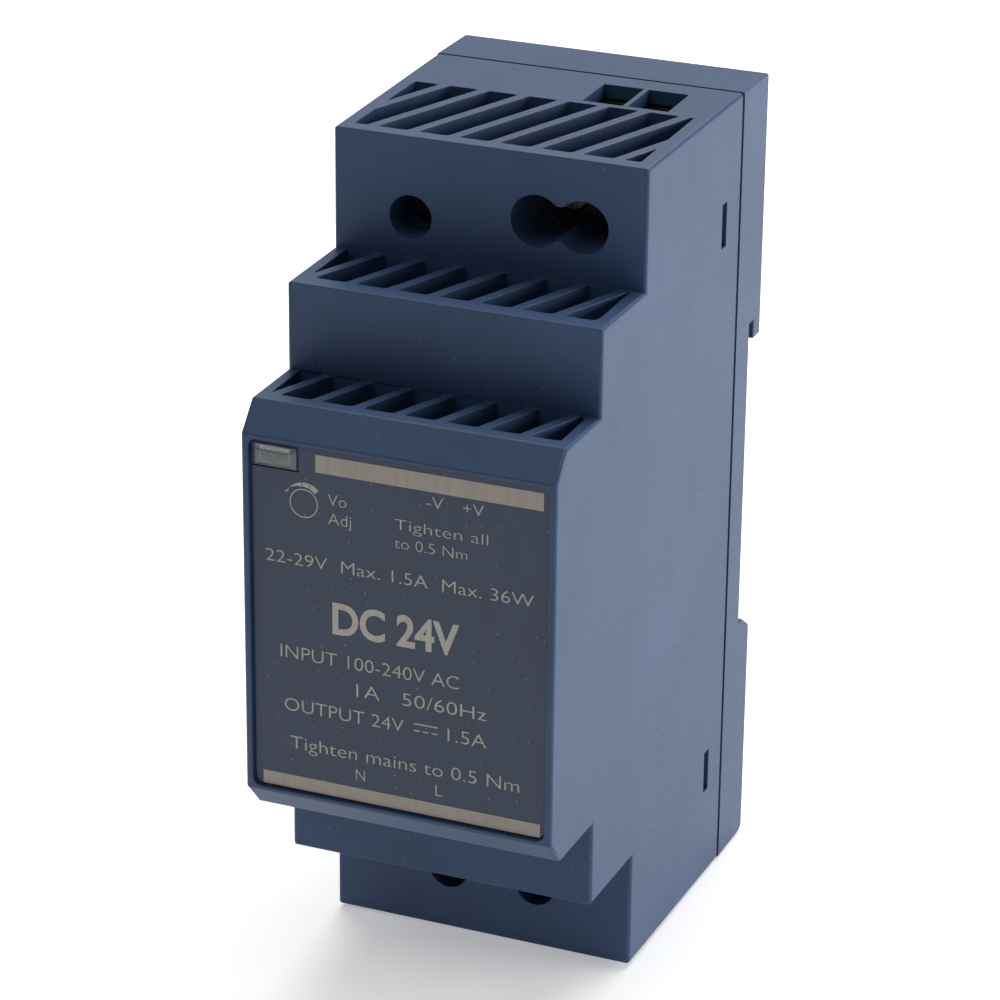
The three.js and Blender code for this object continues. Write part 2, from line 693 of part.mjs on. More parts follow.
// Power transistor package: body, tab with hole, three legs, flat side towards +X
function powerPackage() {
  const body = block(-3.2, 0, -13, -4, -5, 5);
  const tab = block(-1.2, 0, -19, -12.9, -5, 5).subtract(rod('x', -16, 0, 1.8, -2, 1, 16));
  const legs = [-2.54, 0, 2.54].map((z) => block(-2, -1.4, -4.5, 0, z - 0.4, z + 0.4));
  return body.add(tab).add(union(legs));
}
place(part, 'switching_transistor', powerPackage(), finish.black, [-7.1, BOARD_Y, 43.4]);
const primarySink = [
  [-12, 0],
  [4, 0],
  [4, 1.6],
  [-10.4, 1.6],
  [-10.4, 3.6],
  [-12, 3.6],
];
const primaryBody = prism('y', primarySink, -22, -0.2);
place(part, 'primary_heatsink', primaryBody, finish.aluminium, [-7.1, BOARD_Y, 45.0]);

// --- Transformer ------------------------------------------------------------------------------

const TRANSFORMER_AT = [0.4, 6.4, 57.4];
const coreHalf = block(-11, 11, -10, -0.05, -3, 3)
  .subtract(block(-7.8, -3, -7.2, 1, -4, 4))
  .subtract(block(3, 7.8, -7.2, 1, -4, 4));
place(part, 'transformer_core_front', coreHalf, finish.ferrite, TRANSFORMER_AT);
const coreRear = coreHalf.mirror([0, 1, 0]);
place(part, 'transformer_core_rear', coreRear, finish.ferrite, TRANSFORMER_AT);
const flange = (y) => block(-7.7, 7.7, y, y + 0.7, -7.4, 7.4);
const bobbin = block(-3.9, 3.9, -7.0, 7.0, -3.9, 3.9)
  .add(flange(-7.1))
  .add(flange(6.4))
  .add(block(-7.7, 7.7, 6.4, 13.5, 3.2, 7.4))
  .add(block(-7.7, 7.7, 6.4, 13.5, -7.4, -3.2))
  .subtract(block(-3.1, 3.1, -8, 8, -3.1, 3.1));
place(part, 'transformer_bobbin', bobbin, finish.black, TRANSFORMER_AT);
const winding = turned('y', [[0, -6.3], [7.2, -6.3], [7.2, 6.3], [0, 6.3]], 36).subtract(
  block(-3.95, 3.95, -7, 7, -3.95, 3.95),
);
place(part, 'transformer_winding', winding, finish.yellow, TRANSFORMER_AT);

// --- Output stage -----------------------------------------------------------------------------

place(part, 'output_capacitor_left', can(3.8, 15), finish.black, [-9.4, BOARD_Y, 80.4]);
place(part, 'output_capacitor_right', can(3.8, 15), finish.black, [-1.6, BOARD_Y, 80.4]);
place(part, 'optocoupler', block(-2, 2, -4.2, 0, -3, 3), finish.white, [-11.6, BOARD_Y, 70.6]);
place(part, 'y_capacitor', discBody(4.0, 2.4, 1.4), finish.ceramic, [-12.2, BOARD_Y, 54.4]);

const rectifier = powerPackage().rotate([0, 90, 0]);
place(part, 'output_rectifier', rectifier, finish.black, [-3.4, BOARD_Y, 68.3]);
const secondarySink = block(-5.4, 5.4, -20.5, -0.2, -1.5, 0);
place(part, 'secondary_heatsink', secondarySink, finish.aluminium, [-3.4, BOARD_Y, 68.2]);

const DRUM_AT = [8.0, BOARD_Y - 5.6, 71.2];
const drum = turned('y', [
  [0, -5.4],
  [4.4, -5.4],
  [4.4, -4.0],
  [2.2, -4.0],
  [2.2, 4.0],
  [4.4, 4.0],
  [4.4, 5.4],
  [0, 5.4],
]);
place(part, 'output_choke_core', drum, finish.ferrite, DRUM_AT);
place(part, 'output_choke_winding', ringOf(3.9, 2.3, 3.8), finish.copper, DRUM_AT);

export default part;
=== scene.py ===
"""Two-module power supply for a 35 mm mounting rail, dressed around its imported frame.

Lengths in the classes are millimetres; everything that reaches Blender is in metres. The front faces -Y, up is +Z.
"""

import logging
import math
from contextlib import contextmanager
from dataclasses import dataclass, field
from enum import Enum
from typing import Callable, Iterable, Iterator, Sequence

import bmesh
import bpy
from mathutils import Matrix, Vector


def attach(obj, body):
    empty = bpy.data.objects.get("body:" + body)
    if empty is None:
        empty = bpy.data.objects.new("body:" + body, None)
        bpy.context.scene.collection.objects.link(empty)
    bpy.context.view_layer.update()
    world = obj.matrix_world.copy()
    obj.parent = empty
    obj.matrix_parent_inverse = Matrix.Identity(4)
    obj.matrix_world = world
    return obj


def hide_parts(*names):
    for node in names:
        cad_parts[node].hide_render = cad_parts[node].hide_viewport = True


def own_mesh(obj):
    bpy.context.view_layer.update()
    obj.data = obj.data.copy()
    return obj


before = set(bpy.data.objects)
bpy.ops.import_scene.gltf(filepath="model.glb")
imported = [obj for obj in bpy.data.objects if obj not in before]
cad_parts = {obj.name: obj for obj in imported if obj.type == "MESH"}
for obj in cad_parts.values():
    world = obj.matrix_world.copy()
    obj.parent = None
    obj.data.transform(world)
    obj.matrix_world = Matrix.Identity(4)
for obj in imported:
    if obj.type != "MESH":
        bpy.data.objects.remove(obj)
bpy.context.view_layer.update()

log = logging.getLogger("rail_supply")

MM = 0.001


class Body(Enum):
    """The rigid bodies of the frame that a piece can ride on."""

    HOUSING = "housing"
    LATCH = "latch"
    TRIMMER_ROTOR = "trimmer_rotor"


class Element(Enum):
    """What a selection in edit mode is made of."""

    VERT = "VERT"
    EDGE = "EDGE"
    FACE = "FACE"


class Combine(Enum):
    """How a tool solid meets the solid it works on."""

    CUT = "DIFFERENCE"
    JOIN = "UNION"


# ------------------------------------------------------------------------------------------------
# Workbench: selecting, adding and combining
# ------------------------------------------------------------------------------------------------


def metres(point: Sequence[float]) -> Vector:
    """A point or size given in millimetres, in metres."""
    return Vector(point) * MM


def activate(obj: bpy.types.Object, *others: bpy.types.Object) -> None:
    """Select only these objects and make the first one active.

    Args:
        obj: The object that becomes active.
        others: Further objects that are selected with it.
    """
    bpy.ops.object.select_all(action="DESELECT")
    for item in (obj, *others):
        item.select_set(True)
    bpy.context.view_layer.objects.active = obj


@contextmanager
def editing(obj: bpy.types.Object) -> Iterator[None]:
    """Edit mode on one object, with nothing of it selected at the start.

    Args:
        obj: The mesh object to edit.
    """
    activate(obj)
    bpy.ops.object.mode_set(mode="EDIT")
    bpy.ops.mesh.select_all(action="DESELECT")
    yield
    bpy.ops.object.mode_set(mode="OBJECT")


def place_of(item: bmesh.types.BMVert | bmesh.types.BMEdge | bmesh.types.BMFace) -> Vector:
    """The middle of a vertex, edge or face, in millimetres.

    Args:
        item: A mesh element.

    Returns:
        Its middle point in millimetres.
    """
    if isinstance(item, bmesh.types.BMVert):
        return item.co / MM
    if isinstance(item, bmesh.types.BMEdge):
        return (item.verts[0].co + item.verts[1].co) / (2 * MM)
    return item.calc_center_median() / MM


def span_of(edge: bmesh.types.BMEdge) -> Vector:
    """An edge's extent along X, Y and Z, in millimetres."""
    return Vector(abs(c) for c in (edge.verts[0].co - edge.verts[1].co)) / MM


def pick(obj: bpy.types.Object, element: Element, test: Callable) -> int:
    """Select the elements that pass a test, in edit mode, and nothing else.

    Args:
        obj: The object being edited.
        element: Whether vertices, edges or faces are tested.
        test: Takes the element and says whether it is wanted.

    Returns:
        How many were selected.
    """
    bpy.ops.mesh.select_mode(type=element.value)
    bpy.ops.mesh.select_all(action="DESELECT")
    mesh = bmesh.from_edit_mesh(obj.data)
    pools = {Element.VERT: mesh.verts, Element.EDGE: mesh.edges, Element.FACE: mesh.faces}
    wanted = [item for item in pools[element] if test(item)]
    for item in wanted:
        item.select_set(True)
    bmesh.update_edit_mesh(obj.data, loop_triangles=False, destructive=False)
    return len(wanted)


def settle(obj: bpy.types.Object) -> None:
    """Move an object's place, turn and scale into its mesh."""
    activate(obj)
    bpy.ops.object.transform_apply(location=True, rotation=True, scale=True)


def add_block(name: str, low: Sequence[float], high: Sequence[float]) -> bpy.types.Object:
    """A rectangular block between two corners.

    Args:
        name: The object's name.
        low: Lowest corner in millimetres.
        high: Highest corner in millimetres.

    Returns:
        The block, with its place in its mesh.
    """
    bottom, top = metres(low), metres(high)
    bpy.ops.mesh.primitive_cube_add(size=1.0, location=(bottom + top) / 2)
    block = bpy.context.active_object
    block.name = name
    block.scale = top - bottom
    settle(block)
    return block


AXIS_TURN = {"X": (0.0, math.pi / 2, 0.0), "Y": (-math.pi / 2, 0.0, 0.0), "Z": (0.0, 0.0, 0.0)}


def add_rod(
    name: str, start: Sequence[float], length: float, radius: float, axis: str = "Y", sides: int = 48
) -> bpy.types.Object:
    """A round rod that runs from a point along an axis.

    Args:
        name: The object's name.
        start: Middle of its near end in millimetres.
        length: Its length in millimetres.
        radius: Its radius in millimetres.
        axis: X, Y or Z.
        sides: Number of sides of the circle.

    Returns:
        The rod, with its place in its mesh.
    """
    middle = Vector(start)
    middle["XYZ".index(axis)] += length / 2
    bpy.ops.mesh.primitive_cylinder_add(
        vertices=sides, radius=radius * MM, depth=length * MM, location=metres(middle), rotation=AXIS_TURN[axis]
    )
    rod = bpy.context.active_object
    rod.name = name
    settle(rod)
    return rod


def extrude(offset: Sequence[float]) -> None:
    """Extrude the selected faces by an offset in millimetres."""
    bpy.ops.mesh.extrude_region_move(TRANSFORM_OT_translate={"value": metres(offset)})


def shift(offset: Sequence[float]) -> None:
    """Move the selection by an offset in millimetres."""
    bpy.ops.transform.translate(value=metres(offset))


def stretch(factors: Sequence[float], centre: Sequence[float]) -> None:
    """Scale the selection about a centre given in millimetres."""
    bpy.ops.transform.resize(value=tuple(factors), center_override=tuple(metres(centre)))


def bisect_at(z: float) -> None:
    """Cut the whole mesh in edit mode at a height in millimetres."""
    bpy.ops.mesh.select_all(action="SELECT")
    bpy.ops.mesh.bisect(plane_co=(0, 0, z * MM), plane_no=(0, 0, 1))


def round_edges(
    obj: bpy.types.Object, radius: float, test: Callable[[bmesh.types.BMEdge], bool], segments: int = 3
) -> int:
    """Round the edges of an object that pass a test.

    Args:
        obj: The object, in object mode.
        radius: Radius of the rounding in millimetres.
        test: Takes an edge and says whether it is rounded.
        segments: Steps across the rounding.

    Returns:
        How many edges were rounded.
    """
    with editing(obj):
        count = pick(obj, Element.EDGE, test)
        if count:
            bpy.ops.mesh.bevel(offset=radius * MM, segments=segments, profile=0.5, affect="EDGES")
    return count


def combine(obj: bpy.types.Object, tool: bpy.types.Object, how: Combine) -> None:
    """Work a tool solid into a solid and throw the tool away.

    Args:
        obj: The solid that is kept.
        tool: The solid that cuts or joins it.
        how: The way the two are combined.
    """
    activate(obj)
    bpy.ops.object.modifier_add(type="BOOLEAN")
    step = obj.modifiers[-1]
    step.operation = how.value
    step.solver = "EXACT"
    step.object = tool
    bpy.ops.object.modifier_apply(modifier=step.name)
    bpy.data.objects.remove(tool, do_unlink=True)


def merge(pieces: Sequence[bpy.types.Object], name: str) -> bpy.types.Object:
    """Join several objects into one.

    Args:
        pieces: The objects, of which the first is kept.
        name: The name of the result.

    Returns:
        The joined object.
    """
    activate(*pieces)
    if len(pieces) > 1:
        bpy.ops.object.join()
    joined = bpy.context.active_object
    joined.name = name
    return joined


def copy_of(obj: bpy.types.Object, name: str, offset: Sequence[float] = (0, 0, 0)) -> bpy.types.Object:
    """A copy with a mesh of its own, moved by an offset in millimetres.

    Args:
        obj: The object to copy.
        name: The copy's name.
        offset: How far the copy is moved.

    Returns:
        The copy, with its place in its mesh.
    """
    twin = obj.copy()
    twin.data = obj.data.copy()
    twin.name = name
    twin.data.transform(Matrix.Translation(metres(offset)))
    bpy.context.scene.collection.objects.link(twin)
    return twin


def flipped(obj: bpy.types.Object, middle: float) -> bpy.types.Object:
    """Turn an object upside down by mirroring its mesh about a height, and keep its faces outwards.

    Args:
        obj: The object to mirror.
        middle: The height of the mirror plane in millimetres.

    Returns:
        The same object.
    """
    plane = Matrix.Translation(metres((0, 0, 2 * middle))) @ Matrix.Diagonal((1, 1, -1, 1))
    obj.data.transform(plane)
    obj.data.flip_normals()
    return obj


def upside_down(obj: bpy.types.Object, middle: float) -> bpy.types.Object:
    """A mirrored copy of an object about a height.

    Args:
        obj: The object to mirror.
        middle: The height of the mirror plane in millimetres.

    Returns:
        The mirrored copy.
    """
    return flipped(copy_of(obj, obj.name + "_below"), middle)


def smooth(obj: bpy.types.Object, degrees: float = 32.0) -> None:
    """Shade the roundings smoothly while flat faces stay flat.

    Args:
        obj: The object to shade.
        degrees: Edges sharper than this stay sharp.
    """
    activate(obj)
    bpy.ops.object.shade_smooth_by_angle(angle=math.radians(degrees), keep_sharp_edges=False)
    bpy.ops.object.modifier_add(type="WEIGHTED_NORMAL")
    step = obj.modifiers[-1]
    step.keep_sharp = True
    step.weight = 80
    bpy.ops.object.modifier_apply(modifier=step.name)


def tidy_mesh(obj: bpy.types.Object) -> None:
    """Weld doubled points and drop needless edges inside flat faces."""
    with editing(obj):
        bpy.ops.mesh.select_all(action="SELECT")
        bpy.ops.mesh.remove_doubles(threshold=0.001 * MM)
        bpy.ops.mesh.dissolve_limited(angle_limit=math.radians(0.1))


def rounded_twin(node: str, radius: float, segments: int = 2) -> bpy.types.Object:
    """A copy of a CAD node with its doubled points welded and its edges rounded.

    Args:
        node: The CAD node's name.
        radius: Radius of the rounding in millimetres.
        segments: Steps across the rounding.

    Returns:
        The rounded copy, named after the node.
    """
    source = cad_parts[node]
    twin = source.copy()
    twin.data = source.data.copy()
    twin.name = node + "_finished"
    twin.parent = None
    twin.data.materials.clear()
    for key in list(twin.keys()):
        del twin[key]
    bpy.context.scene.collection.objects.link(twin)
    tidy_mesh(twin)
    activate(twin)
    bpy.ops.object.modifier_add(type="BEVEL")
    step = twin.modifiers[-1]
    step.width = radius * MM
    step.segments = segments
    step.limit_method = "ANGLE"
    step.angle_limit = math.radians(40)
    step.use_clamp_overlap = True
    bpy.ops.object.modifier_apply(modifier=step.name)
    smooth(twin)
    return twin


# ------------------------------------------------------------------------------------------------
# Finishes
# ------------------------------------------------------------------------------------------------


def linear(code: str) -> tuple[float, float, float, float]:
    """An sRGB hex colour as linear red, green, blue and alpha.

    Args:
        code: Six hex digits after a hash sign.

    Returns:
        The linear colour with alpha 1.
    """
    parts = [int(code[i : i + 2], 16) / 255 for i in (1, 3, 5)]
    red, green, blue = (c / 12.92 if c <= 0.04045 else ((c + 0.055) / 1.055) ** 2.4 for c in parts)
    return (red, green, blue, 1.0)


def add_node(tree: bpy.types.NodeTree, kind: str, sockets: dict | None = None, **settings) -> bpy.types.Node:
    """Add a node with its settings, and fill or link its sockets.

    Args:
        tree: The node tree.
        kind: The node's type name.
        sockets: Input name or number to a value, or to an output socket that is linked in.
        settings: Properties of the node itself.

    Returns:
        The new node.
    """
    made = tree.nodes.new(kind)
    for name, value in settings.items():
        setattr(made, name, value)
    for key, value in (sockets or {}).items():
        if isinstance(value, bpy.types.NodeSocket):
            tree.links.new(value, made.inputs[key])
        else:
            made.inputs[key].default_value = value
    return made


def new_material(name: str, **surface) -> tuple[bpy.types.Material, bpy.types.NodeTree, bpy.types.Node]:
    """An empty node material with its Principled surface.

    Args:
        name: The material's name.
        surface: Socket names of the surface, with underscores for blanks, and their values.

    Returns:
        The material, its tree and its Principled node.
    """
    material = bpy.data.materials.new(name)
    material.use_nodes = True
    tree = material.node_tree
    tree.nodes.clear()
    shader = add_node(tree, "ShaderNodeBsdfPrincipled")
    add_node(tree, "ShaderNodeOutputMaterial", {"Surface": shader.outputs["BSDF"]})
    for key, value in surface.items():
        shader.inputs[key.replace("_", " ")].default_value = value
    return material, tree, shader


def object_point(tree: bpy.types.NodeTree, stretch_by: Sequence[float] = (1, 1, 1)) -> bpy.types.NodeSocket:
    """Object coordinates in millimetres, stretched along each axis.

    Args:
        tree: The node tree.
        stretch_by: Factor on each axis; a small one draws a pattern out along it.

    Returns:
        The vector socket.
    """
    place = add_node(tree, "ShaderNodeTexCoord").outputs["Object"]
    scale = [factor / MM for factor in stretch_by]
    return add_node(tree, "ShaderNodeMapping", {"Vector": place, "Scale": scale}).outputs["Vector"]


def lay_surface(
    tree: bpy.types.NodeTree,
    shader: bpy.types.Node,
    colour: str,
    tone: bpy.types.Node,
    height: bpy.types.Node,
    depth_mm: float,
) -> None:
    """Give a surface its colour, lighter and darker with a tone, and its relief.

    Args:
        tree: The node tree.
        shader: The surface shader.
        colour: The middle colour as sRGB hex.
        tone: The node whose result scales the colour.
        height: The pattern that stands proud.
        depth_mm: How far it stands proud, in millimetres.
    """
    scale = {0: linear(colour)[:3], "Scale": tone.outputs["Result"]}
    toned = add_node(tree, "ShaderNodeVectorMath", scale, operation="SCALE")
    tree.links.new(toned.outputs["Vector"], shader.inputs["Base Color"])
    bump = add_node(tree, "ShaderNodeBump", {"Height": height.outputs["Fac"], "Distance": depth_mm * MM})
    tree.links.new(bump.outputs["Normal"], shader.inputs["Normal"])


@dataclass(frozen=True)
class MouldedPlastic:
    """Injection-moulded plastic from a spark-eroded tool: a fine even grain that scatters the gloss."""

    name: str
    colour: str
    roughness: float = 0.5
    grain_mm: float = 0.22
    grain_depth_mm: float = 0.006
    cloud: float = 0.12
    dust: float = 0.0
    scratches: float = 0.0
    specular: float = 0.5

    def material(self) -> bpy.types.Material:
        """Build the material.

        Returns:
            Plastic with grain, faint clouding, and dust and scratches where asked.
        """
        material, tree, shader = new_material(self.name, Specular_IOR_Level=self.specular, IOR=1.53)
        point = object_point(tree)
        cloud = add_node(tree, "ShaderNodeTexNoise", {"Vector": point, "Scale": 1 / 14, "Detail": 3.0})
        tone = add_node(
            tree,
            "ShaderNodeMapRange",
            {
                "Value": cloud.outputs["Fac"],
                "From Min": 0.3,
                "From Max": 0.7,
                "To Min": 1 - self.cloud,
                "To Max": 1 + self.cloud,
            },
        )
        colour = add_node(
            tree,
            "ShaderNodeVectorMath",
            {0: linear(self.colour)[:3], "Scale": tone.outputs["Result"]},
            operation="SCALE",
        ).outputs["Vector"]
        if self.dust:
            colour = self._dusted(tree, point, colour)
        tree.links.new(colour, shader.inputs["Base Color"])
        grain = add_node(
            tree, "ShaderNodeTexNoise", {"Vector": point, "Scale": 1 / self.grain_mm, "Detail": 2.0, "Roughness": 0.6}
        )
        gloss = add_node(
            tree,
            "ShaderNodeMapRange",
            {
                "Value": grain.outputs["Fac"],
                "From Min": 0.3,
                "From Max": 0.7,
                "To Min": self.roughness - 0.06,
                "To Max": self.roughness + 0.06,
            },
        )
        tree.links.new(gloss.outputs["Result"], shader.inputs["Roughness"])
        height = grain.outputs["Fac"]
        if self.scratches:
            height = self._scratched(tree, point, height)
        relief = {"Height": height, "Strength": 1.0, "Distance": self.grain_depth_mm * MM}
        bump = add_node(tree, "ShaderNodeBump", relief)
        tree.links.new(bump.outputs["Normal"], shader.inputs["Normal"])
        return material

    def _dusted(
        self, tree: bpy.types.NodeTree, point: bpy.types.NodeSocket, colour: bpy.types.NodeSocket
    ) -> bpy.types.NodeSocket:
        """Scatter pale dust specks of about 0.2 mm over a colour.

        Args:
            tree: The node tree.
            point: The place in millimetres.
            colour: The colour under the dust.

        Returns:
            The dusted colour.
        """
        cells = add_node(tree, "ShaderNodeTexVoronoi", {"Vector": point, "Scale": 1.2, "Randomness": 1.0})
        chosen = add_node(
            tree, "ShaderNodeMath", {0: cells.outputs["Color"], 1: 0.72}, operation="GREATER_THAN"
        )
        near = add_node(tree, "ShaderNodeMath", {0: cells.outputs["Distance"], 1: 0.08}, operation="LESS_THAN")
        speck = add_node(
            tree, "ShaderNodeMath", {0: chosen.outputs["Value"], 1: near.outputs["Value"]}, operation="MULTIPLY"
        )
        amount = add_node(tree, "ShaderNodeMath", {0: speck.outputs["Value"], 1: self.dust}, operation="MULTIPLY")
        mixed = add_node(
            tree,
            "ShaderNodeMix",
            {"Factor": amount.outputs["Value"], "A": colour, "B": linear("#9AA0AC")},
            data_type="RGBA",
        )
        return mixed.outputs["Result"]

    def _scratched(
        self, tree: bpy.types.NodeTree, point: bpy.types.NodeSocket, height: bpy.types.NodeSocket
    ) -> bpy.types.NodeSocket:
        """Add long fine handling marks to a height.

        Args:
            tree: The node tree.
            point: The place in millimetres.
            height: The height of the grain.

        Returns:
            The height with marks cut into it.
        """
        turned = add_node(
            tree, "ShaderNodeMapping", {"Vector": point, "Rotation": (0.6, 0.35, 0.5), "Scale": (0.03, 1.0, 0.9)}
        )
        marks = add_node(tree, "ShaderNodeTexNoise", {"Vector": turned.outputs["Vector"], "Scale": 1.6, "Detail": 4.0})
        cut = add_node(
            tree,
            "ShaderNodeMapRange",
            {"Value": marks.outputs["Fac"], "From Min": 0.66, "From Max": 0.72, "To Max": self.scratches},
        )
        return add_node(
            tree, "ShaderNodeMath", {0: height, 1: cut.outputs["Result"]}, operation="SUBTRACT"
        ).outputs["Value"]


@dataclass(frozen=True)
class EngravedSilver:
    """Print laid down in close parallel strokes: pale, half metallic, and lined where the strokes meet."""

    name: str
    colour: str = "#8F8880"
    stroke_mm: float = 0.14
    roughness: float = 0.42

    def material(self) -> bpy.types.Material:
        """Build the material.

        Returns:
            Silver ink with fine upright strokes.
        """
        material, tree, shader = new_material(self.name, Metallic=0.55)
        point = object_point(tree)
        strokes = add_node(
            tree,
            "ShaderNodeTexWave",
            {"Vector": point, "Scale": 0.314 / self.stroke_mm, "Distortion": 0.6, "Detail": 2.0},
            bands_direction="X",
        )
        patches = add_node(
            tree, "ShaderNodeTexNoise", {"Vector": object_point(tree, (0.9, 0.3, 0.06)), "Scale": 1.4, "Detail": 3.0}
        )
        mix = add_node(
            tree, "ShaderNodeMath", {0: strokes.outputs["Fac"], 1: patches.outputs["Fac"]}, operation="MULTIPLY"
        )
        tone = add_node(
            tree,
            "ShaderNodeMapRange",
            {"Value": mix.outputs["Value"], "From Min": 0.0, "From Max": 0.6, "To Min": 0.72, "To Max": 1.12},
        )
        shader.inputs["Roughness"].default_value = self.roughness
        lay_surface(tree, shader, self.colour, tone, strokes, 0.004)
        return material


@dataclass(frozen=True)
class ClearPlastic:
    """Polished clear moulding, such as polycarbonate: it bends light and shows faint flow lines."""

    name: str
    tint: str = "#E8F2F6"

    def material(self) -> bpy.types.Material:
        """Build the material.

        Returns:
            Clear plastic with slight waviness.
        """
        material, tree, shader = new_material(
            self.name, Transmission_Weight=0.92, IOR=1.58, Roughness=0.06, Base_Color=linear(self.tint)
        )
        waves = add_node(tree, "ShaderNodeTexNoise", {"Vector": object_point(tree), "Scale": 0.9, "Detail": 1.0})
        bump = add_node(tree, "ShaderNodeBump", {"Height": waves.outputs["Fac"], "Distance": 0.05 * MM})
        tree.links.new(bump.outputs["Normal"], shader.inputs["Normal"])
        return material


@dataclass(frozen=True)
class WorkedMetal:
    """Bare or plated metal with the lines that drawing, rolling or turning leaves."""

    name: str
    colour: str
    roughness: float = 0.3
    line_mm: float = 0.12
    along: tuple[float, float, float] = (1.0, 0.08, 1.0)
    stain: float = 0.12

    def material(self) -> bpy.types.Material:
        """Build the material.

        Returns:
            Metal with fine lines and a light stain.
        """
        material, tree, shader = new_material(self.name, Metallic=1.0)
        point = object_point(tree, self.along)
        lines = add_node(tree, "ShaderNodeTexNoise", {"Vector": point, "Scale": 1 / self.line_mm, "Detail": 3.0})
        stain = add_node(tree, "ShaderNodeTexNoise", {"Vector": object_point(tree), "Scale": 0.4, "Detail": 4.0})
        tone = add_node(
            tree,
            "ShaderNodeMapRange",
            {"Value": stain.outputs["Fac"], "From Min": 0.35, "From Max": 0.65, "To Min": 1 - self.stain},
        )
        gloss = add_node(
            tree,
            "ShaderNodeMapRange",
            {
                "Value": lines.outputs["Fac"],
                "From Min": 0.3,
                "From Max": 0.7,
                "To Min": self.roughness - 0.08,
                "To Max": self.roughness + 0.12,
            },
        )
        tree.links.new(gloss.outputs["Result"], shader.inputs["Roughness"])
        lay_surface(tree, shader, self.colour, tone, lines, 0.004)
        return material


@dataclass(frozen=True)
class WoundWire:
    """Lacquered wire or tape laid turn beside turn: ribs a wire's width apart, with painted shade in the grooves
    between turns.
    """

    name: str
    colour: str
    pitch_mm: float
    metallic: float = 0.9
    roughness: float = 0.3
    direction: str = "Y"

    def material(self) -> bpy.types.Material:
        """Build the material.

        Returns:
            A ribbed coil surface.
        """
        material, tree, shader = new_material(self.name, Metallic=self.metallic, Roughness=self.roughness)
        turns = add_node(
            tree,
            "ShaderNodeTexWave",
            {"Vector": object_point(tree), "Scale": 0.314 / self.pitch_mm, "Distortion": 0.3},
            bands_direction=self.direction,
        )
        # Painted shade: the colour falls to 0.45 in the grooves between turns, where the relief is lowest
        tone = add_node(
            tree, "ShaderNodeMapRange", {"Value": turns.outputs["Fac"], "To Min": 0.45, "To Max": 1.05}
        )
        lay_surface(tree, shader, self.colour, tone, turns, 0.15 * self.pitch_mm)
        return material


@dataclass(frozen=True)
class CoatedBoard:
    """Glass laminate under solder resist: the weave shows faintly and tracks stand a little proud."""

    name: str
    colour: str = "#1E5A38"
    track_colour: str = "#2F7A4C"

    def material(self) -> bpy.types.Material:
        """Build the material.

        Returns:
            Coated circuit board.
        """
        material, tree, shader = new_material(self.name, Roughness=0.32, IOR=1.5)
        tracks = add_node(
            tree,
            "ShaderNodeTexBrick",
            {
                "Vector": object_point(tree, (1.0, 0.4, 1.0)),
                "Color1": linear(self.track_colour),
                "Color2": linear(self.track_colour),
                "Mortar": linear(self.colour),
                "Scale": 0.24,
                "Mortar Size": 0.07,
            },
        )
        tree.links.new(tracks.outputs["Color"], shader.inputs["Base Color"])
        weave = add_node(tree, "ShaderNodeTexNoise", {"Vector": object_point(tree), "Scale": 2.2, "Detail": 2.0})
        bump = add_node(tree, "ShaderNodeBump", {"Height": weave.outputs["Fac"], "Distance": 0.01 * MM})
        tree.links.new(bump.outputs["Normal"], shader.inputs["Normal"])
        return material


@dataclass(frozen=True)
class PaperWhite:
    """Studio floor of white acrylic lit faintly from below: matt, even and pale."""

    name: str = "matt_studio_floor"
    colour: str = "#F4F4F3"
    glow: float = 0.35

    def material(self) -> bpy.types.Material:
        """Build the material.

        Returns:
            A matt pale floor with the least unevenness.
        """
        material, tree, shader = new_material(self.name, Roughness=0.85)
        noise = add_node(tree, "ShaderNodeTexNoise", {"Vector": object_point(tree), "Scale": 0.02})
        tone = add_node(
            tree, "ShaderNodeMapRange", {"Value": noise.outputs["Fac"], "To Min": 0.985, "To Max": 1.0}
        )
        scale = {0: linear(self.colour)[:3], "Scale": tone.outputs["Result"]}
        colour = add_node(tree, "ShaderNodeVectorMath", scale, operation="SCALE")
        tree.links.new(colour.outputs["Vector"], shader.inputs["Base Color"])
        shader.inputs["Emission Color"].default_value = linear("#FFFFFF")
        shader.inputs["Emission Strength"].default_value = self.glow
        return material


# ABS moulded in a spark-eroded tool: an even grain that keeps the gloss low, with dust and handling marks
CASING = MouldedPlastic(
    "slate_blue_abs_spark_eroded", "#314666", 0.46, grain_depth_mm=0.012, dust=0.55, scratches=0.9, specular=0.26
)
# Acetal moulded in a polished tool: black and slightly waxy
LATCH = MouldedPlastic("black_pom_moulded", "#1B1D22", 0.4, grain_depth_mm=0.003)
# Polyester film with a matt top coat: smoother than the casing and a little greyer
LABEL_FILM = MouldedPlastic(
    "slate_polyester_film_printed",
    "#203048",
    0.4,
    grain_mm=0.3,
    grain_depth_mm=0.002,
    cloud=0.06,
    dust=0.6,
    scratches=0.8,
    specular=0.42,
)
# Silver ink in close strokes: a warm grey band that is lined across when seen from near
SILVER_PRINT = EngravedSilver("silver_print_in_strokes")
# The same ink in thin letters, where the strokes are too short to show as lines
PALE_PRINT = EngravedSilver("pale_print_letters", "#9A978F", 0.09, 0.4)
# Polycarbonate moulded clear: bright rims round a dark middle
CLEAR = ClearPlastic("clear_polycarbonate_polished")
# Glass-filled polyamide: dull, with the cloudy swirls of the fibres
TERMINAL = MouldedPlastic("dark_polyamide_glass_filled", "#1A211F", 0.55, grain_mm=0.5, cloud=0.2)
# Epoxy moulded round silicon: black, fine and matt
BLACK_EPOXY = MouldedPlastic("black_epoxy_moulded", "#17181B", 0.45, grain_mm=0.15)
# The same epoxy filled white
WHITE_EPOXY = MouldedPlastic("white_epoxy_moulded", "#DAD8D0", 0.4)
# Diffuse lamp epoxy, unlit: a smooth grey green
LAMP = MouldedPlastic("diffuse_lamp_epoxy", "#4F6B60", 0.25, grain_depth_mm=0.001)
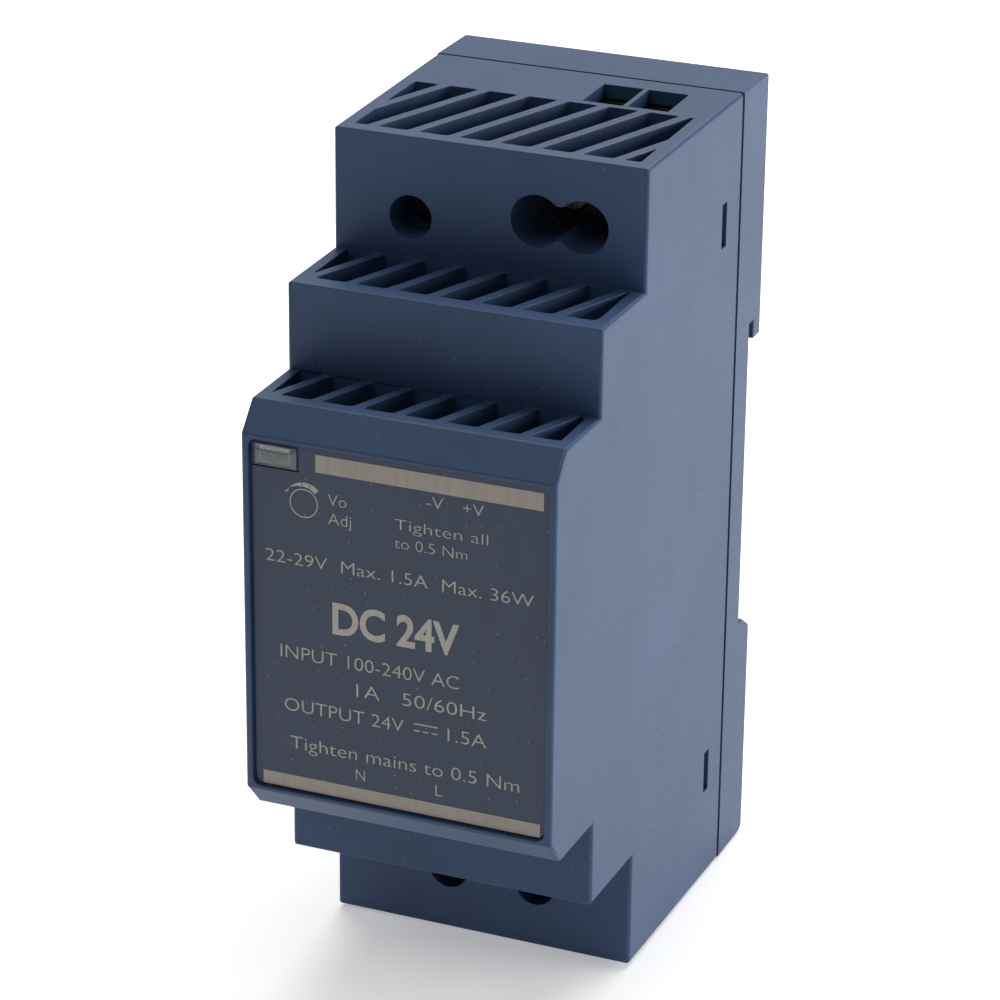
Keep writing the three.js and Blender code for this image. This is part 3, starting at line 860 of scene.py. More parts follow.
# Trimmer housing of moulded polyester, its blue painted very dark as painted shade from the depth of its hole
TRIMMER_BLUE = MouldedPlastic("trimmer_housing_blue_painted_shade", "#0D1628", 0.5)
# Moulded rotor of the trimmer, painted near black as painted shade from the depth of its hole
ROTOR = MouldedPlastic("trimmer_rotor_near_black_painted_shade", "#0B0C0E", 0.5, grain_depth_mm=0.002)
# Discs dipped in lacquer: glossy, with slow waves
DIP_BLUE = MouldedPlastic("blue_dipped_lacquer", "#1F4C96", 0.22, grain_mm=1.2, grain_depth_mm=0.02)
# Thermistor dipped in dark lacquer, with the same slow waves
DIP_BLACK = MouldedPlastic("black_dipped_lacquer", "#17201B", 0.25, grain_mm=1.2, grain_depth_mm=0.02)
# Film capacitor case of moulded polyester
CASE_YELLOW = MouldedPlastic("yellow_capacitor_case", "#C9A22C", 0.42)
# Sleeve shrunk round a can: glossy and drawn a little uneven
SLEEVE = MouldedPlastic("dark_shrunk_sleeve", "#141B2C", 0.28, grain_mm=2.5, grain_depth_mm=0.02, cloud=0.2)
# Pressed, fired and ground ferrite: grey black and slightly gritty
FERRITE = MouldedPlastic("ground_ferrite", "#2B2A2C", 0.55, grain_mm=0.35, grain_depth_mm=0.01, cloud=0.25)
# Polyester tape wound in turns 3.1 mm wide, with painted shade between the turns
TAPE = WoundWire("yellow_polyester_tape", "#D0A92A", 3.1, 0.0, 0.35)
# Lacquered copper wire wound close: ribs a wire apart, with painted shade between the turns
COPPER = WoundWire("lacquered_copper_wire", "#B4652D", 0.7)
# Rolled aluminium sheet: fine lines along the rolling
ALUMINIUM = WorkedMetal("rolled_aluminium_sheet", "#C4C7CA", 0.35)
# Turned steel with bright zinc
ZINC_STEEL = WorkedMetal("zinc_plated_turned_steel", "#B9BCC2", 0.28)
# Drawn spring wire, lined along its length
SPRING_STEEL = WorkedMetal("drawn_spring_steel", "#A9ABAF", 0.25)
# Stamped brass under nickel: warm and soft in gloss
PLATED_BRASS = WorkedMetal("nickel_plated_brass_stamping", "#B9AC8C", 0.3, along=(1, 1, 0.1))
# Copper strip dipped in tin
TINNED = WorkedMetal("tinned_copper_strip", "#C9CACC", 0.3)
# Glass laminate under green resist, with tracks that stand proud
BOARD = CoatedBoard("solder_resist_on_glass_laminate")
# White acrylic floor of the studio
FLOOR = PaperWhite()

Finish = MouldedPlastic | EngravedSilver | ClearPlastic | WorkedMetal | WoundWire | CoatedBoard | PaperWhite
_made: dict[str, bpy.types.Material] = {}


def dress(obj: bpy.types.Object, finish: Finish) -> None:
    """Give an object one finish all over.

    Args:
        obj: The object.
        finish: The finish, whose material is built once and shared.
    """
    if finish.name not in _made:
        _made[finish.name] = finish.material()
    obj.data.materials.clear()
    obj.data.materials.append(_made[finish.name])


def fit_in(
    obj: bpy.types.Object, finish: Finish, slot: str, body: str = Body.HOUSING.value, stands_for: Sequence[str] = ()
) -> bpy.types.Object:
    """Dress a finished piece, put it on its body and let it stand for CAD nodes.

    Args:
        obj: The finished piece.
        finish: Its finish.
        slot: A name for the material slot; not used.
        body: The body it rides on.
        stands_for: The CAD nodes it replaces.

    Returns:
        The same piece.
    """
    dress(obj, finish)
    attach(obj, body)
    if stands_for:
        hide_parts(*stands_for)
    log.info("%s on %s in %s", obj.name, body, finish.name)
    return obj


# ------------------------------------------------------------------------------------------------
# Casing
# ------------------------------------------------------------------------------------------------


@dataclass
class Casing:
    """Sizes that the front housing and the rear cover share."""

    width: float = 35.0
    height: float = 90.0
    front: float = -29.0
    parting: float = 21.0
    parting_gap: float = 0.4
    draft: float = 0.0102
    rear: float = 29.0

    @property
    def middle(self) -> float:
        """Half the height."""
        return self.height / 2

    def half_width(self, y: float) -> float:
        """Half the drafted width at a depth."""
        return self.width / 2 - self.draft * (self.rear - y)

    def rise(self, y: float) -> float:
        """Half the drafted height at a depth."""
        return self.height / 2 - self.draft * max(0.0, self.parting - y)


@dataclass
class Grille:
    """One ventilation opening with slanted bars: its depths, where the bars start, its level and its slope."""

    near: float
    far: float
    bar_x: float
    bar_y: float
    level: float
    tilt: float = 0.0
    left: float = -15.6
    right: float = 15.5
    slope: float = 0.3816
    pitch: float = 4.47
    bar: float = 1.2
    depth: float = 2.5
    corner: float = 0.32

    def top_at(self, y: float) -> float:
        """Height of the face around the grille at a depth."""
        return self.level + self.tilt * (y - (self.near + self.far) / 2)

    def borders(self, place: Vector) -> bool:
        """Whether a place lies on the face of the grille."""
        return (
            abs(place.z - self.top_at(place.y)) < 0.04
            and self.left - 0.1 < place.x < self.right + 0.1
            and self.near - 0.1 < place.y < self.far + 0.1
        )

    def slots(self) -> bpy.types.Object:
        """The tool that cuts the slots: the opening less its bars, with the corners of every slot rounded.

        Returns:
            The cutting tool.
        """
        start, end = self.near - 1, self.far + 1
        low, high = self.level - self.depth - 1.5, self.level + 1.5
        tool = add_block("slots", (self.left, self.near, low), (self.right, self.far, high))
        first = self.bar_x + self.slope * (start - self.bar_y)
        pattern = add_block("bar", (first, start, low - 1), (first + self.bar, end, high + 1))
        with editing(pattern):
            pick(pattern, Element.VERT, lambda v: place_of(v).y > self.near)
            shift((self.slope * (end - start), 0, 0))
        bars = merge([copy_of(pattern, "bar", (self.pitch * k, 0, 0)) for k in range(-1, 9)], "bars")
        bpy.data.objects.remove(pattern, do_unlink=True)
        combine(tool, bars, Combine.CUT)
        round_edges(tool, self.corner, self._roomy, 3)
        return tool

    def _roomy(self, edge: bmesh.types.BMEdge) -> bool:
        """Whether an upright edge of a slot turns sharply and has room for its rounding on both sides."""
        beside = [other for vert in edge.verts for other in vert.link_edges if other is not edge]
        roomy = min(other.calc_length() for other in beside) > 2.5 * self.corner * MM
        return roomy and span_of(edge).z > 1 and edge.calc_face_angle(0) > 0.6

    def frame_block(self) -> bpy.types.Object:
        """The thick frame behind the opening, which the hollow of the housing leaves standing.

        Returns:
            The frame as a solid block.
        """
        return add_block(
            "grille_frame",
            (self.left - 0.9, self.near - 0.8, self.level - self.depth - 0.05),
            (self.right + 0.9, self.far + 1.2, self.level + 3),
        )


@dataclass
class FrontHousing:
    """Stepped shell with three levels above and below the front block, one moulding."""

    casing: Casing = field(default_factory=Casing)
    terminal_face: float = -6.1
    middle_face: float = -17.7
    chamfer: float = -26.3
    middle_half: float = 31.8
    front_half: float = 22.5
    label_half: float = 19.6
    wall: float = 1.5
    edge: float = 0.4
    label_half_x: float = 16.1
    label_low: float = 25.8
    label_high: float = 64.2
    label_depth: float = 0.7
    output_x: tuple[float, float] = (5.15, 10.15)
    output_radius: float = 2.75
    input_x: tuple[float, float] = (-4.0, 6.1)
    input_radius: float = 2.25
    output_z: float = 82.6
    trimmer: tuple[float, float] = (-8.6, 81.1)
    trimmer_radius: float = 2.3
    neck: float = 1.8
    relief: float = 0.03
    tube_wall: float = 0.9
    tube_end: float = 2.6
    trimmer_tube_end: float = -0.8
    entry: tuple[float, float, float] = (11.9, 18.1, 2.2)
    crisp: float = 0.16
    rim: float = 0.12

    def stepped_solid(self, name: str, inset: float) -> bpy.types.Object:
        """The stepped form of the housing, drawn in by an inset for its hollow.

        Args:
            name: The object's name.
            inset: How far every face is drawn in.

        Returns:
            The solid.
        """
        casing = self.casing
        middle = casing.middle
        rear = casing.parting - casing.parting_gap / 2 + (2 if inset else 0)
        half = casing.width / 2
        solid = add_block(
            name, (-half, self.terminal_face + inset, inset), (half, rear, casing.height - inset)
        )
        steps = [
            (self.middle_half - inset, self.terminal_face + inset, self.middle_face - self.terminal_face),
            (self.front_half - inset, self.middle_face + inset, self.chamfer - self.middle_face - inset * 0.4),
        ]
        with editing(solid):
            for half_height, face, depth in steps:
                bisect_at(middle - half_height)
                bisect_at(middle + half_height)
                pick(
                    solid,
                    Element.FACE,
                    lambda f: f.normal.y < -0.9
                    and abs(place_of(f).y - face) < 0.1
                    and abs(place_of(f).z - middle) < half_height,
                )
                extrude((0, depth, 0))
            extrude((0, self.casing.front - self.chamfer + inset * 0.4, 0))
            stretch((1, 1, (self.label_half - inset * 0.5) / (self.front_half - inset)), (0, 0, middle))
            for level in sorted({round(place_of(v).y, 3) for v in bmesh.from_edit_mesh(solid.data).verts}):
                pick(solid, Element.VERT, lambda v: abs(place_of(v).y - level) < 0.01)
                stretch(((casing.half_width(level) - inset) / half, 1, 1), (0, 0, 0))
            tall = middle - inset
            for level in (self.terminal_face + inset, rear):
                pick(
                    solid,
                    Element.VERT,
                    lambda v: abs(place_of(v).y - level) < 0.01 and abs(abs(place_of(v).z - middle) - tall) < 0.01,
                )
                stretch((1, 1, (casing.rise(level) - inset) / tall), (0, 0, middle))
        tidy_mesh(solid)
        return solid

    def grilles(self) -> list[Grille]:
        """The three grilles of the upper half, from the top face to the front block.

        Returns:
            The grilles in order.
        """
        middle = self.casing.middle
        return [
            Grille(-4.3, 11.0, -18.68, -4.2, middle + self.casing.rise(3.35), self.casing.draft),
            Grille(-15.5, self.terminal_face - self.relief, -16.0, -15.3, middle + self.middle_half),
            Grille(-24.65, self.middle_face - self.relief, -15.6, -24.4, middle + self.front_half),
        ]

    def access_hole(self, xs: Sequence[float], z: float, radius: float, end: float) -> bpy.types.Object:
        """The tool for a round screwdriver hole, or for two that run into each other.

        Args:
            xs: Places across.
            z: The height.
            radius: The radius.
            end: How far back it reaches.

        Returns:
            The cutting tool.
        """
        start = self.terminal_face - 1
        tool = add_rod("access", (xs[0], start, z), end - start, radius, "Y", 72)
        for x in xs[1:]:
            combine(tool, add_rod("access", (x, start, z), end - start, radius, "Y", 72), Combine.JOIN)
            gap, centre = (x - xs[0]) / 2, (x + xs[0]) / 2
            fillet = (gap**2 + self.neck**2 - radius**2) / (2 * (radius - self.neck))
            share = radius / (radius + fillet)
            across, up = gap * (1 - share), (self.neck + fillet) * share
            neck = add_block("neck", (centre - across, start, z - up), (centre + across, end, z + up))
            for side in (-1, 1):
                place = (centre, start - 1, z + side * (self.neck + fillet))
                combine(neck, add_rod("fillet", place, end - start + 2, fillet, "Y", 48), Combine.CUT)
            combine(tool, neck, Combine.JOIN)
        return tool

    def wire_entry(self, x: float) -> bpy.types.Object:
        """The tool for a square wire entry in the top face.

        Args:
            x: Its place across.

        Returns:
            The cutting tool.
        """
        low, high, half = self.entry
        top = self.casing.height
        tool = add_block("entry", (x - half, low, top - 3), (x + half, high, top + 1))
        round_edges(tool, 0.15, lambda e: span_of(e).z > 1, 2)
        return tool

    def rims(self, edge: bmesh.types.BMEdge) -> bool:
        """Whether an edge borders a slot, a hole, a wire entry or the label recess on an outer face."""
        if not edge.is_convex or edge.calc_face_angle(0) < 0.7:
            return False
        place = place_of(edge)
        upper = place.copy()
        middle = self.casing.middle
        if upper.z < middle:
            upper.z = 2 * middle - upper.z
        if any(grille.borders(upper) for grille in self.grilles()):
            return True
        if abs(place.y - self.terminal_face) < 0.02:
            return any(math.hypot(place.x - x, place.z - z) < radius + 0.4 for x, z, radius in self.round_holes())
        if abs(place.y - self.casing.front) < 0.02:
            return abs(place.x) < self.label_half_x + 0.1 and self.label_low - 0.1 < place.z < self.label_high + 0.1
        low, high, half = self.entry
        xs = self.output_x if place.z > middle else self.input_x
        on_top = abs(upper.z - middle - self.casing.rise(place.y)) < 0.04 and low - 0.1 < place.y < high + 0.1
        return on_top and any(abs(place.x - x) < half + 0.1 for x in xs)

    def round_holes(self) -> list[tuple[float, float, float]]:
        """Every round hole of the terminal faces as its place across, its height and its radius."""
        low = self.casing.height - self.output_z
        made = [(x, self.output_z, self.output_radius) for x in self.output_x]
        made += [(x, low, self.input_radius) for x in self.input_x]
        return made + [(*self.trimmer, self.trimmer_radius)]

    def hollow(self) -> bpy.types.Object:
        """The hollow of the shell, less the grille frames and the guide tubes that stand in it.

        Returns:
            The cutting tool for the inside.
        """
        tool = self.stepped_solid("hollow", self.wall)
        for grille in self.grilles():
            block = grille.frame_block()
            combine(tool, upside_down(block, self.casing.middle), Combine.CUT)
            combine(tool, block, Combine.CUT)
        start = self.terminal_face - 1
        for x, z, radius in self.round_holes():
            end = self.trimmer_tube_end if (x, z) == self.trimmer else self.tube_end
            tube = add_rod("tube", (x, start, z), end - start, radius + self.tube_wall, "Y", 48)
            combine(tool, tube, Combine.CUT)
        return tool

    def _runs_beside(self, edge: bmesh.types.BMEdge) -> bool:
        """Whether an edge lies in one of the two side walls."""
        ends = (place_of(vert) for vert in edge.verts)
        across = self.casing.half_width
        return span_of(edge).x < 9 and all(abs(abs(end.x) - across(end.y)) < 0.02 for end in ends)

    def _lean(self, grille: Grille) -> Matrix:
        """The slight lean that makes a grille follow the draft of its face."""
        lean = Matrix.Identity(4)
        lean[2][1] = grille.tilt
        lean[2][3] = -grille.tilt * (grille.near + grille.far) / 2 * MM
        return lean

    def build(self) -> bpy.types.Object:
        """Model the housing.

        Returns:
            The finished shell.
        """
        casing = self.casing
        middle = casing.middle
        rear = casing.parting - casing.parting_gap / 2
        shell = self.stepped_solid("front_housing_shell", 0.0)
        round_edges(
            shell,
            self.edge,
            lambda e: e.is_convex and place_of(e).y < rear - 0.05 and self._runs_beside(e),
            4,
        )
        round_edges(
            shell,
            self.crisp,
            lambda e: e.is_convex and span_of(e).x > 9 and e.calc_face_angle(0) > 0.4 and place_of(e).y < rear - 0.05,
            3,
        )
        combine(shell, self.hollow(), Combine.CUT)
        for grille in self.grilles():
            slots = grille.slots()
            slots.data.transform(self._lean(grille))
            combine(shell, upside_down(slots, middle), Combine.CUT)
            combine(shell, slots, Combine.CUT)
        low_z = casing.height - self.output_z
        through = self.tube_end + 0.5
        combine(shell, self.access_hole(self.output_x, self.output_z, self.output_radius, through), Combine.CUT)
        for x in self.input_x:
            combine(shell, self.access_hole([x], low_z, self.input_radius, through), Combine.CUT)
            combine(shell, flipped(self.wire_entry(x), middle), Combine.CUT)
        for x in self.output_x:
            combine(shell, self.wire_entry(x), Combine.CUT)
        across, up = self.trimmer
        hole = self.access_hole([across], up, self.trimmer_radius, self.trimmer_tube_end + 0.5)
        combine(shell, hole, Combine.CUT)
        for sign in (-1, 1):
            low, high = sorted((middle + sign * 29.4, middle + sign * 34.3))
            combine(shell, add_block("window", (-20, 15.6, low), (20, 17.0, high)), Combine.CUT)
        recess = add_block(
            "recess",
            (-self.label_half_x, casing.front - 1, self.label_low),
            (self.label_half_x, casing.front + self.label_depth, self.label_high),
        )
        round_edges(recess, 0.9, lambda e: span_of(e).y > 1, 5)
        combine(shell, recess, Combine.CUT)
        lens = add_block("lens", (-15.0, casing.front - 1, 61.7), (-11.8, casing.front + 3, 63.3))
        combine(shell, lens, Combine.CUT)
        tidy_mesh(shell)
        count = round_edges(shell, self.rim, self.rims, 2)
        log.info("rims of the front housing: %d edges", count)
        smooth(shell)
        return fit_in(shell, CASING, "casing_plastic", stands_for=["front_housing"])


@dataclass
class RearCover:
    """Cover with the rail recess, the fixed upper lip and the channel that guides the latch."""

    casing: Casing = field(default_factory=Casing)
    seat: float = 25.5
    pad_y: float = 25.7
    pad_z: tuple[float, float] = (29.4, 60.2)
    lip: float = 26.8
    rail_top: float = 62.7
    rail_bottom: float = 27.3
    upper_lip: float = 60.6
    lower_lip: float = 25.8
    top_corner: float = 0.35
    bottom_corner: float = 0.8
    edge: float = 0.25
    tongue_half: float = 15.72
    tongue_wall: float = 0.95
    tongue_front: float = 19.9
    tongue_inset: float = 1.9
    space_floor: float = 22.9
    post_radius: float = 1.6
    tab_side: float = 15.7
    tab_front: float = 15.7
    hook_rear: float = 16.8
    hook_reach: float = 1.05
    tab_half: float = 2.2
    tab_rise: float = 31.85
    peg_half: float = 1.7
    peg_rear: float = 27.6
    channel_half: float = 9.0
    neck_half: float = 7.3
    channel_floor: float = 24.2
    neck_y: float = 26.4
    channel_top: float = 24.5

    def build(self) -> bpy.types.Object:
        """Model the cover.

        Returns:
            The finished cover.
        """
        casing = self.casing
        front = casing.parting + casing.parting_gap / 2
        half = casing.width / 2
        cover = add_block(
            "rear_cover_moulding", (-half, front, 0), (half, self.seat, casing.height)
        )
        with editing(cover):
            bisect_at(self.rail_bottom)
            bisect_at(self.rail_top)
            pick(
                cover,
                Element.FACE,
                lambda f: f.normal.y > 0.9 and not self.rail_bottom < place_of(f).z < self.rail_top,
            )
            extrude((0, self.lip - self.seat, 0))
            extrude((0, casing.rear - self.lip, 0))
            pick(
                cover,
                Element.FACE,
                lambda f: f.normal.z < -0.9 and place_of(f).y > self.lip and place_of(f).z > self.upper_lip,
            )
            extrude((0, 0, self.upper_lip - self.rail_top))
            pick(
                cover,
                Element.VERT,
                lambda v: place_of(v).y > casing.rear - 0.01 and abs(place_of(v).z - self.rail_bottom) < 0.01,
            )
            shift((0, 0, self.lower_lip - self.rail_bottom))
        tidy_mesh(cover)
        for radius, height in ((self.top_corner, casing.height), (self.bottom_corner, 0)):
            round_edges(
                cover,
                radius,
                lambda e: place_of(e).y > casing.rear - 0.01 and span_of(e).x > 5 and abs(place_of(e).z - height) < 0.1,
                4,
            )
        round_edges(
            cover,
            self.edge,
            lambda e: e.is_convex and place_of(e).y > front + 0.1 and e.calc_face_angle(0) > 0.5,
            2,
        )
        pad = add_block("pad", (-half + 0.3, self.seat - 1, self.pad_z[0]), (half - 0.3, self.pad_y, self.pad_z[1]))
        combine(cover, pad, Combine.JOIN)
        for tool, how in self._inside(front):
            combine(cover, tool, how)
        smooth(cover)
        return fit_in(cover, CASING, "cover_plastic", stands_for=["rear_cover"])

    def _inside(self, front: float) -> Iterable[tuple[bpy.types.Object, Combine]]:
        """The tongue, the space behind the board, the snap tabs, the channel and the spring peg, in order.

        Args:
            front: Where the cover starts.

        Yields:
            Each tool solid and how it is combined.
        """
        height = self.casing.height
        half, low = self.tongue_half, self.tongue_inset
        tongue = add_block("tongue", (-half, self.tongue_front, low), (half, front + 0.5, height - low))
        yield tongue, Combine.JOIN
        half, low = half - self.tongue_wall, low + 0.5
        space = add_block("space", (-half, self.tongue_front - 1, low), (half, self.space_floor, height - low))
        yield space, Combine.CUT
        for x in (-12.6, 12.6):
            for z in (6, 84):
                yield add_rod("post", (x, 21.5, z), 1.6, self.post_radius, "Y", 24), Combine.JOIN
        for side in (-1, 1):
            for sign in (-1, 1):
                yield self._snap_tab(side, self.casing.middle + sign * self.tab_rise, front), Combine.JOIN
        wide = (self.channel_half, self.neck_y, self.channel_top)
        yield add_block("channel", (-wide[0], self.channel_floor, -1), wide), Combine.CUT
        neck = add_block(
            "neck", (-self.neck_half, self.neck_y - 0.1, -1), (self.neck_half, 30, self.rail_bottom + 1)
        )
        yield neck, Combine.CUT
        peg_low = (-self.peg_half, self.channel_floor - 0.2, 6.2)
        peg = add_block("peg", peg_low, (self.peg_half, self.peg_rear, 8.0))
        round_edges(peg, 0.3, lambda e: place_of(e).y > self.peg_rear - 0.1, 2)
        yield peg, Combine.JOIN

    def _snap_tab(self, side: int, z: float, front: float) -> bpy.types.Object:
        """A tab with a hooked end that stands in a window of the front housing.

        Args:
            side: Left is -1 and right is 1.
            z: Its middle height.
            front: Where the cover starts.

        Returns:
            The tab.
        """
        edges = sorted((side * (self.tab_side - self.tongue_wall), side * self.tab_side))
        low = (edges[0], self.tab_front, z - self.tab_half)
        tab = add_block("tab", low, (edges[1], front + 0.4, z + self.tab_half))
        with editing(tab):
            bpy.ops.mesh.select_all(action="SELECT")
            bpy.ops.mesh.bisect(plane_co=metres((0, self.hook_rear, 0)), plane_no=(0, 1, 0))
            pick(tab, Element.FACE, lambda f: f.normal.x * side > 0.9 and place_of(f).y < self.hook_rear)
            extrude((side * self.hook_reach, 0, 0))
            bpy.ops.mesh.bevel(offset=0.2 * MM, segments=2, affect="EDGES")
        return tab


@dataclass
class RailLatch:
    """Sprung slide that hooks behind the lower edge of the rail, and its spring."""

    half: float = 8.75
    neck_half: float = 7.05
    low: float = 0.2
    floor: float = 24.4
    neck_y: float = 26.1
    rear: float = 28.8
    plate_top: float = 24.3
    tooth_top: float = 29.0
    tooth_front: float = 26.95
    ramp_start: float = 27.2
    ramp_depth: float = 1.6
    window_half: float = 2.1
    window_low: float = 5.8
    window_high: float = 20.4
    slot_half: float = 3.0
    slot_front: float = 26.6
    slot_low: float = 1.6
    slot_high: float = 3.4
    groove_half: float = 5.4
    groove_front: float = 28.5
    groove_low: float = 21.6
    groove_pitch: float = 1.1
    groove_width: float = 0.5
    clear: float = 30.0
    coils: int = 9
    steps_per_coil: int = 20
    wire: float = 0.22
    spring_y: float = 26.1
    coil_radius: float = 1.45
    spring_low: float = 8.25
    spring_high: float = 20.15
    travel_kept: float = 0.68

    def build(self) -> bpy.types.Object:
        """Model the latch: guided plate, narrower neck, ramped tooth, grip ribs and the screwdriver slot.

        Returns:
            The finished latch.
        """
        plate_low, plate_high = (-self.half, self.floor, self.low), (self.half, self.neck_y, self.plate_top)
        latch = add_block("rail_latch_moulding", plate_low, plate_high)
        low = (-self.neck_half, self.neck_y - 0.3, self.low + 0.15)
        neck = add_block("neck", low, (self.neck_half, self.rear, self.plate_top - 0.15))
        with editing(neck):
            bpy.ops.mesh.select_all(action="SELECT")
            bpy.ops.mesh.bisect(plane_co=metres((0, self.tooth_front, 0)), plane_no=(0, 1, 0))
            pick(neck, Element.FACE, lambda f: f.normal.z > 0.9 and place_of(f).y > self.tooth_front)
            extrude((0, 0, self.ramp_start - self.plate_top + 0.15))
            extrude((0, 0, self.tooth_top - self.ramp_start))
            pick(neck, Element.VERT, lambda v: place_of(v).z > self.tooth_top - 0.1 and place_of(v).y > self.rear - 0.1)
            shift((0, -self.ramp_depth, 0))
        behind = self.tooth_front + 0.1
        round_edges(
            neck,
            0.22,
            lambda e: e.is_convex and e.calc_face_angle(0) > 0.4 and all(place_of(v).y > behind for v in e.verts),
            2,
        )
        combine(latch, neck, Combine.JOIN)
        half = self.window_half
        window = add_block("window", (-half, 20, self.window_low), (half, self.clear, self.window_high))
        round_edges(window, 0.4, lambda e: span_of(e).y > 5, 3)
        combine(latch, window, Combine.CUT)
        slot_low = (-self.slot_half, self.slot_front, self.slot_low)
        slot = add_block("slot", slot_low, (self.slot_half, self.clear, self.slot_high))
        round_edges(slot, 0.3, lambda e: span_of(e).y > 3, 3)
        combine(latch, slot, Combine.CUT)
        for k in range(3):
            z = self.groove_low + self.groove_pitch * k
            groove_low = (-self.groove_half, self.groove_front, z)
            groove = add_block("groove", groove_low, (self.groove_half, self.clear, z + self.groove_width))
            combine(latch, groove, Combine.CUT)
        tidy_mesh(latch)
        smooth(latch)
        return fit_in(latch, LATCH, "latch_plastic", Body.LATCH.value, ["rail_latch"])

    def build_spring(self) -> bpy.types.Object:
        """Wind the compression spring, with closed end coils.

        Returns:
            The finished spring.
        """
        curve = bpy.data.curves.new("spring_path", "CURVE")
        curve.dimensions = "3D"
        curve.bevel_depth = self.wire * MM
        curve.bevel_resolution = 3
        curve.use_fill_caps = True
        count = self.coils * self.steps_per_coil + 1
        line = curve.splines.new("POLY")
        line.points.add(count - 1)
        for i in range(count):
            t = i / (count - 1)
            rise = t - 0.045 * math.sin(2 * math.pi * t)
            angle = 2 * math.pi * self.coils * t
            z = self.spring_low + (self.spring_high - self.spring_low) * rise
            line.points[i].co = (
                self.coil_radius * math.cos(angle) * MM,
                (self.spring_y + self.coil_radius * math.sin(angle)) * MM,
                z * MM,
                1,
            )
        spring = bpy.data.objects.new("latch_spring_wire", curve)
        bpy.context.scene.collection.objects.link(spring)
        activate(spring)
        bpy.ops.object.convert(target="MESH")
        spring = bpy.context.active_object
        tidy_mesh(spring)
        bpy.ops.object.shade_smooth()
        fit_in(spring, SPRING_STEEL, "spring_steel", Body.HOUSING.value, ["latch_spring"])
        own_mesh(spring)
        return spring


# ------------------------------------------------------------------------------------------------
# Front label and lamp
# ------------------------------------------------------------------------------------------------


@dataclass(frozen=True)
class Lettering:
    """One line of print: its words, its ends across, its baseline and the height of its capitals."""

    words: str
    left: float
    right: float
    base: float
    tall: float
    bold: float = 0.0


@dataclass(frozen=True)
class Arc:
    """A printed ring, or a part of one that grows thinner to its left end; its ends are angles."""

    inner: float
    outer: float
    start: float = 0.0
    end: float = 2 * math.pi
    thinning: float = 0.0

    def is_whole(self) -> bool:
        """Whether the arc closes on itself."""
        return math.isclose(self.end - self.start, 2 * math.pi)

    def narrowing(self, share: float) -> Iterator[tuple[float, float, float]]:
        """How its two sides are drawn together at one place along it.

        Args:
            share: How far along it the place lies, from 0 to 1.

        Yields:
            A side's radius, the factor that moves it, and the angle of the place.
        """
        angle = self.start + (self.end - self.start) * share
        lost = (self.outer - self.inner) * self.thinning * share
        yield self.outer, (self.outer - 0.5 * lost) / self.outer, angle
        yield self.inner, (self.inner + 1.4 * lost) / self.inner, angle


